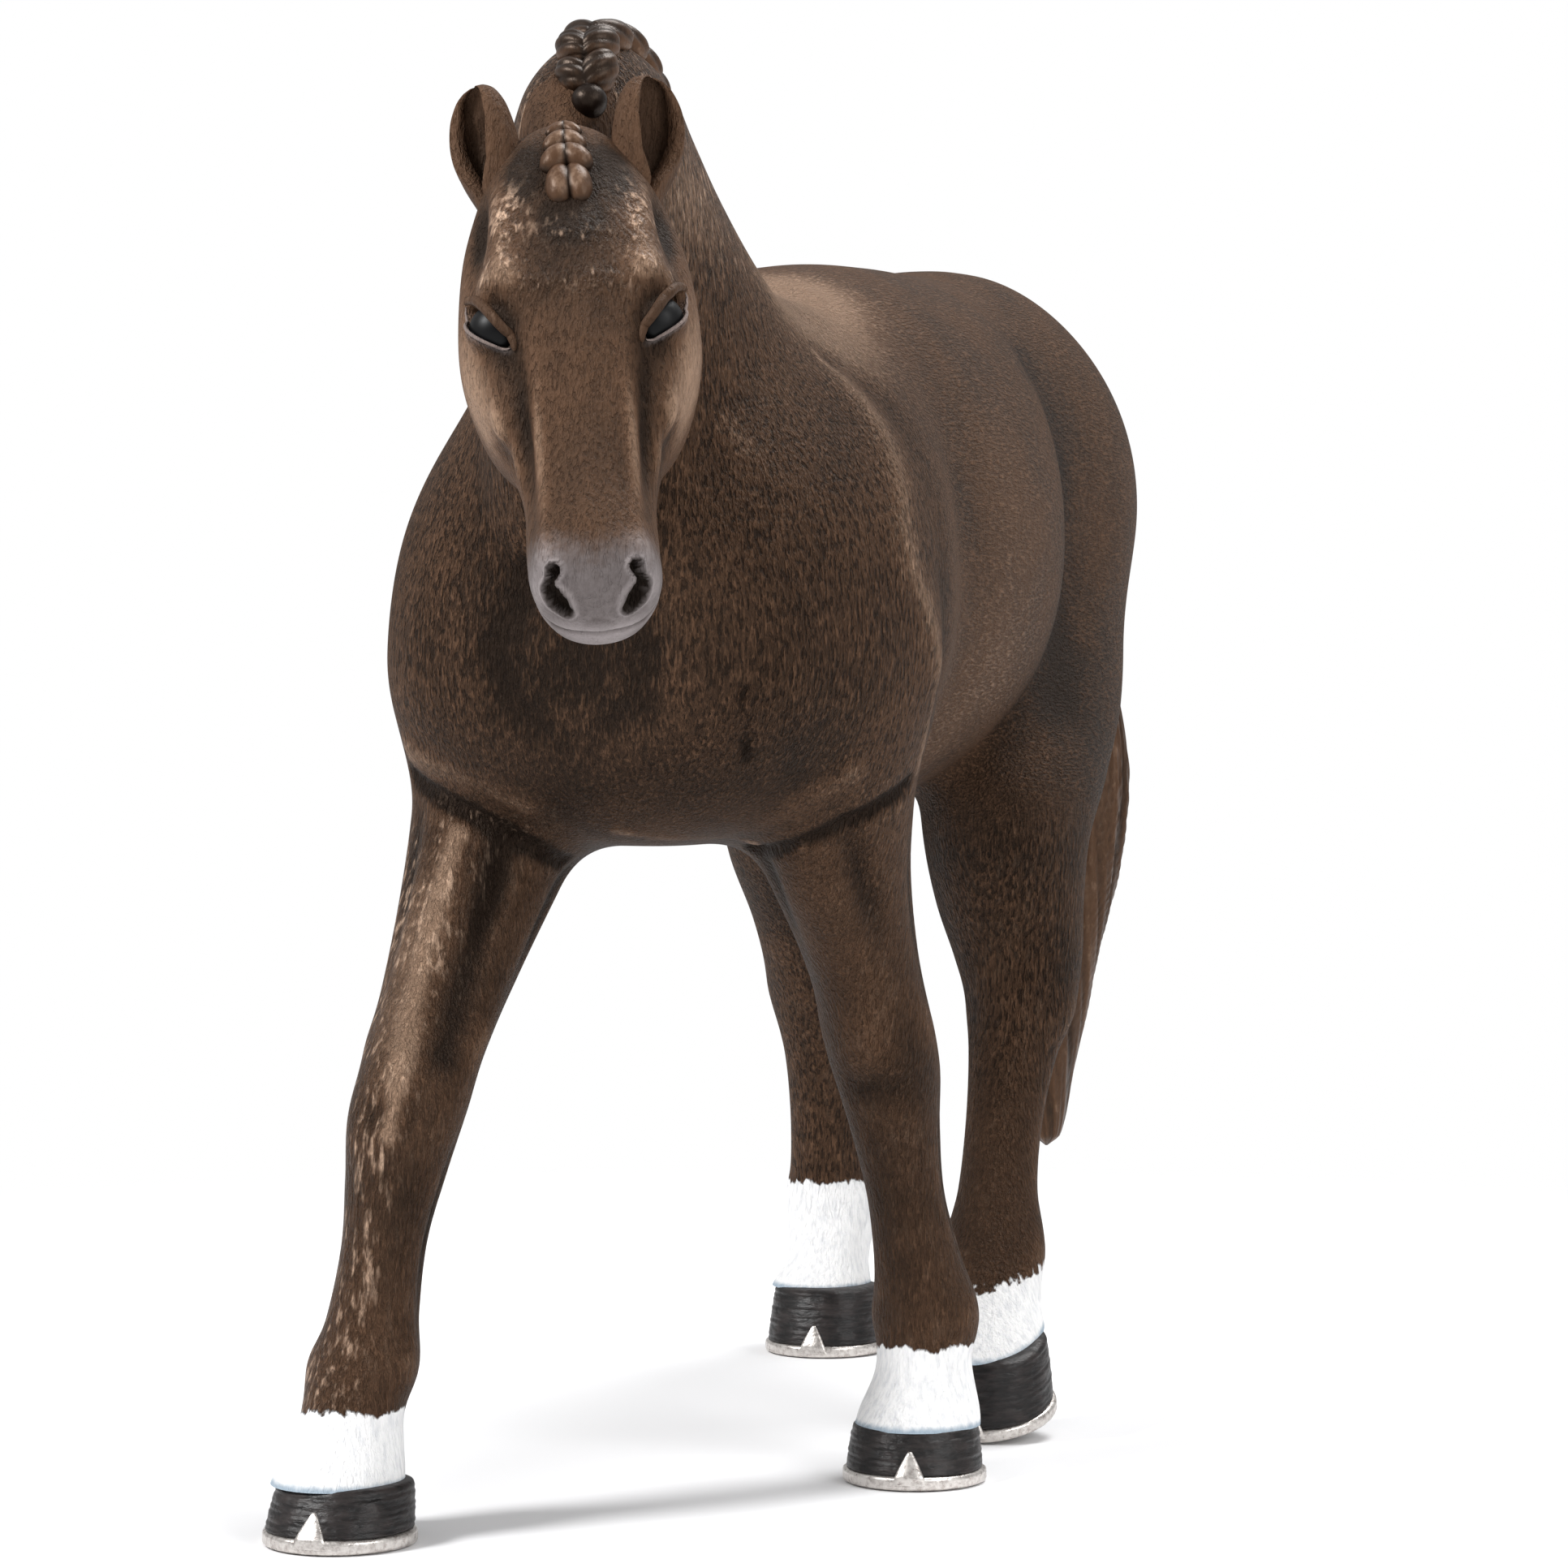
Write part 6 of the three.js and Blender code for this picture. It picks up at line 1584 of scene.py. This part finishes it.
def plait_shells(waists, across, half_width, half_depth, lobes, leans, thread):
    """A plait along a line of waists. Between two waists lie two lobes, left and right: each is
    an ellipsoid whose axis leans outwards from the waist above to the side below, and its strands
    wind round it. Returns the shells, and for each mark a list over the shells."""
    shells, marks = [], {"proud": [], "strand": [], "ink": []}
    waists = np.asarray(waists)
    across = unit(across)
    for k, (above, below, size, slant) in enumerate(zip(waists[:-1], waists[1:], lobes, leans)):
        ahead = below - above
        span = np.linalg.norm(ahead)
        ahead = ahead / span
        side_way = unit(across - ahead * (across @ ahead))
        up = np.cross(ahead, side_way)
        for turn in (-1, 1):
            wide, deep = size * half_width, size * half_depth
            centre = (above + below) / 2 + side_way * turn * LOBE_OFFSET * wide + up * 0.04 * deep * (-1) ** k
            lean = unit(ahead + side_way * turn * slant)
            flat = unit(side_way - lean * (side_way @ lean))
            sizes = (LOBE_SHARE * span, LOBE_SHARE * wide, deep)
            shell = ellipsoid(centre, (lean, flat, up), sizes, strands(6, thread, 1.1 * turn))
            away = shell[0] - centre
            place = away @ np.stack([lean / sizes[0], flat / sizes[1], up / sizes[2]], 1)
            swell = np.linalg.norm(place, axis=1) - 1.0
            gap = np.abs(away @ side_way * turn + LOBE_OFFSET * wide) / wide
            ends = smooth_step(0.82, 1.0, np.abs(place[:, 0]))
            shells.append(shell)
            # Proud lobes are paler, a painted highlight; where lobes meet and at their ends is near-black
            # painted shade.
            marks["proud"].append(place[:, 2] * 0.9 + swell * 4)
            marks["strand"].append((swell + 0.35 * thread) * 8)
            marks["ink"].append(smooth_step(0.2, 0.03, gap) * 0.9 + ends * 0.7)
    return shells, marks


def mane(horse):
    """The plait over the crest and its knot at the poll."""
    sizes = horse.sizes
    length, width, depth = horse.neck_units
    places = np.array(MANE_WAISTS) * length
    rows = rows_at(horse.limbs[1][0].rows, places)
    crest = horse.neck.point(places, rows[:, 0], rows[:, 1] - rows[:, 5])
    start = [horse.neck.point(a * length, s * width, u * depth) for a, s, u in MANE_START]
    waists = np.concatenate([start, crest])
    count = len(waists) - 1
    shells, marks = plait_shells(waists, -horse.neck.across, mm(sizes.mane_half_width),
                                 mm(sizes.mane_half_depth), np.ones(count),
                                 np.full(count, MANE_LEAN), 0.08)
    radius = mm(sizes.poll_knot_radius)
    centre = horse.neck.point(*(np.array(POLL_KNOT) * horse.neck_units))
    knot = ellipsoid(centre, np.eye(3), (radius, radius, radius), strands(4, 0.04, 0.5))
    shells.append(knot)
    for key, value in (("proud", 0.0), ("strand", 0.0), ("ink", 1.0)):
        marks[key].append(np.full(len(knot[0]), value))
    return shells, marks


def forelock(horse):
    """The plait down the forehead."""
    sizes = horse.sizes
    places = np.array(FORELOCK_WAISTS) * horse.head_units[0]
    rows = rows_at(horse.head_limb.rows, places)
    waists = horse.head.point(places, rows[:, 0] + 0.1, rows[:, 1] + rows[:, 4])
    shells, marks = plait_shells(waists, horse.head.across, mm(sizes.forelock_half_width),
                                 mm(sizes.forelock_half_depth), FORELOCK_LOBES, FORELOCK_LEANS, 0.015)
    # The whole forelock is darkened as well as shaded between its lobes.
    marks["ink"] = [0.3 + 0.7 * ink for ink in marks["ink"]]
    return shells, marks


class TOYHORSE_OT_plaits(bpy.types.Operator):
    """Builds the mane's plait over the crest, its knot at the poll and the forelock"""

    bl_idname = "toyhorse.plaits"
    bl_label = "Plaits"

    def execute(self, context):
        horse = Horse(context.scene.horse_sizes)
        paint = plait_paint("plait_paint", context.scene.horse_looks)
        for name, made, node in (("mane_braid", mane(horse), "mane_plait"),
                                 ("forelock_braid", forelock(horse), "forelock_plait")):
            shells, marks = made
            points, faces = merged(shells)
            marks = {key: np.concatenate(values) for key, values in marks.items()}
            marks["ink"] = np.clip(marks["ink"], 0, 1)
            add_piece(name, mesh_from(name, points, faces, horse.shift, marks), paint, [node])
        return {"FINISHED"}


def tail_shell(horse):
    """The hanging tail: ellipses down its line, pushed out by locks, each the size of a sine of
    the angle round the tail that drifts on the way down. Returns the locks' height too."""
    sizes = horse.sizes
    length, _, depth = horse.trunk_units
    dock = horse.trunk.origin[2] + 0.9286 * depth
    buttock = horse.trunk.origin[1] + length
    half = mm(sizes.tail_half_width)
    rows = np.asarray(TAIL_SHARES) * [1, half, half, half, half]
    rise = np.linspace(0, 1, 240)
    left, behind, wide, thick = rows_at(rows, rise).T
    wide, thick = np.maximum(wide, 0.05), np.maximum(thick, 0.05)
    angle = np.linspace(0, 2 * np.pi, 96, endpoint=False)
    flow = 2.2 * np.sin(rise * 2.6) + 3.0 * rise
    lock = 0
    for count, share, turn in TAIL_LOCKS:
        sway = (turn * flow)[:, None] + 0.35 * np.sin(rise * 9 + count)[:, None]
        lock = lock + share * np.abs(np.sin(0.5 * count * (angle[None] + sway)))
    taper = np.sin(np.clip(rise, 0.02, 1) * np.pi) ** 0.4
    push = 1 + 0.28 * (lock - 0.45) * taper[:, None]
    x = left[:, None] + wide[:, None] * np.cos(angle) * push
    y = buttock + behind[:, None] + thick[:, None] * np.sin(angle) * push
    z = np.broadcast_to((dock + (rise - 1) * mm(sizes.tail_length))[:, None], x.shape)
    return *closed_grid(np.stack([x, y, z], -1)), lock


class TOYHORSE_OT_tail(bpy.types.Operator):
    """Builds the hanging tail"""

    bl_idname = "toyhorse.tail"
    bl_label = "Tail"

    def execute(self, context):
        horse = Horse(context.scene.horse_sizes)
        paint = plait_paint("tail_paint", context.scene.horse_looks)
        points, faces, lock = tail_shell(horse)
        strand = np.concatenate([(lock - 0.4).ravel() * 2.2, [0, 0]])
        # Raised locks paler and the gaps darker, painted light and shade, over an even darkening of the tail.
        marks = {"proud": strand * 0.5, "strand": strand, "ink": 0.22 + 0 * strand}
        mesh = mesh_from("tail_locks", points, outward(points, faces), horse.shift, marks)
        add_piece("tail_locks", mesh, paint, ["tail"])
        return {"FINISHED"}


def add_floor(scene):
    """The floor: matt under the horse, so that it holds the shadow, and white further out."""
    mesh = bpy.data.meshes.new("floor")
    corners = [(x * FLOOR_HALF, y * FLOOR_HALF, 0) for x, y in ((-1, -1), (1, -1), (1, 1), (-1, 1))]
    mesh.from_pydata(corners, [], [(0, 1, 2, 3)])
    floor = bpy.data.objects.new("floor", mesh)
    scene.collection.objects.link(floor)
    paint = Paint("floor_paint")
    bright = paint.start.node("ShaderNodeEmission", {}, {"Color": (1, 1, 1, 1), "Strength": 1.0})
    matt = paint.start.node("ShaderNodeBsdfDiffuse", {}, {"Color": (0.86, 0.86, 0.87, 1)})
    spot = paint.start.node("ShaderNodeMapping", {}, {"Vector": paint.place, "Scale": (5.0, 5.0, 5.0)})
    away = paint.start.node("ShaderNodeTexGradient", {"gradient_type": "SPHERICAL"}, {"Vector": spot}, 1)
    mixed = paint.start.node("ShaderNodeMixShader", {}, {0: away.step(0.0, 0.45), 1: bright, 2: matt})
    paint.start.node("ShaderNodeOutputMaterial", {}, {"Surface": mixed})
    mesh.materials.append(paint.material)


def add_world(scene):
    """A soft white world that the camera sees at full white."""
    world = bpy.data.worlds.new("studio")
    scene.world = world
    world.use_nodes = True
    world.node_tree.nodes.clear()
    start = Wire(world.node_tree)
    seen = start.node("ShaderNodeLightPath", output=0)
    glow = start.node("ShaderNodeBackground", {}, {"Color": (1, 1, 1, 1), "Strength": 0.45})
    white = start.node("ShaderNodeBackground", {}, {"Color": (1, 1, 1, 1), "Strength": 1.0})
    both = start.node("ShaderNodeMixShader", {}, {0: seen, 1: glow, 2: white})
    start.node("ShaderNodeOutputWorld", {}, {"Surface": both})


def add_lamp(scene, name, place, power, size):
    """A round soft lamp that faces the horse."""
    data = bpy.data.lights.new(name, "AREA")
    data.energy, data.shape, data.size = power, "DISK", size
    lamp = bpy.data.objects.new(name, data)
    lamp.location = place
    lamp.rotation_euler = (Vector(LAMP_TARGET) - Vector(place)).to_track_quat("-Z", "Y").to_euler()
    scene.collection.objects.link(lamp)


def add_camera(scene, shift):
    """The camera, low in front of the horse and to its left."""
    data = bpy.data.cameras.new("camera")
    data.sensor_width = SENSOR_WIDTH
    data.lens = SENSOR_WIDTH * FOCAL_PIXELS / PICTURE_PIXELS
    data.clip_start, data.clip_end = 0.01, 10.0
    camera = bpy.data.objects.new("camera", data)
    camera.location = (np.array(CAMERA_PLACE) + shift) / 1000.0
    tilt = math.atan(DROP_PIXELS / FOCAL_PIXELS)
    camera.rotation_euler = (math.pi / 2 - tilt, 0, math.radians(CAMERA_TURN))
    scene.collection.objects.link(camera)
    scene.camera = camera


class TOYHORSE_OT_stage(bpy.types.Operator):
    """Builds the floor, the lamps, the world and the camera"""

    bl_idname = "toyhorse.stage"
    bl_label = "Stage"

    def execute(self, context):
        scene = context.scene
        add_floor(scene)
        add_world(scene)
        for lamp in LAMPS:
            add_lamp(scene, *lamp)
        add_camera(scene, Horse(scene.horse_sizes).shift)
        scene.view_settings.view_transform = "Standard"
        return {"FINISHED"}


class TOYHORSE_PT_panel(bpy.types.Panel):
    """Buttons for the horse's pieces, with its sizes and colours"""

    bl_idname = "TOYHORSE_PT_panel"
    bl_label = "Toy Horse"
    bl_space_type = "VIEW_3D"
    bl_region_type = "UI"
    bl_category = "Toy Horse"

    def draw(self, context):
        column = self.layout.column()
        for operator in OPERATORS:
            column.operator(operator.bl_idname)
        for group in (context.scene.horse_sizes, context.scene.horse_looks):
            box = self.layout.box()
            for key in group.bl_rna.properties.keys():
                if key not in ("rna_type", "name"):
                    box.prop(group, key)


OPERATORS = (
    TOYHORSE_OT_coat,
    TOYHORSE_OT_feet,
    TOYHORSE_OT_ears,
    TOYHORSE_OT_eyes,
    TOYHORSE_OT_plaits,
    TOYHORSE_OT_tail,
    TOYHORSE_OT_stage,
)
CLASSES = (HorseSizes, HorseLooks, *OPERATORS, TOYHORSE_PT_panel)


def register():
    for cls in CLASSES:
        bpy.utils.register_class(cls)
    bpy.types.Scene.horse_sizes = bpy.props.PointerProperty(type=HorseSizes)
    bpy.types.Scene.horse_looks = bpy.props.PointerProperty(type=HorseLooks)


def unregister():
    del bpy.types.Scene.horse_looks
    del bpy.types.Scene.horse_sizes
    for cls in reversed(CLASSES):
        bpy.utils.unregister_class(cls)


def main():
    """Registers the add-on and builds everything."""
    register()
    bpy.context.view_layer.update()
    bpy.ops.toyhorse.coat()
    bpy.ops.toyhorse.feet()
    bpy.ops.toyhorse.ears()
    bpy.ops.toyhorse.eyes()
    bpy.ops.toyhorse.plaits()
    bpy.ops.toyhorse.tail()
    bpy.ops.toyhorse.stage()


if __name__ == "__main__":
    main()
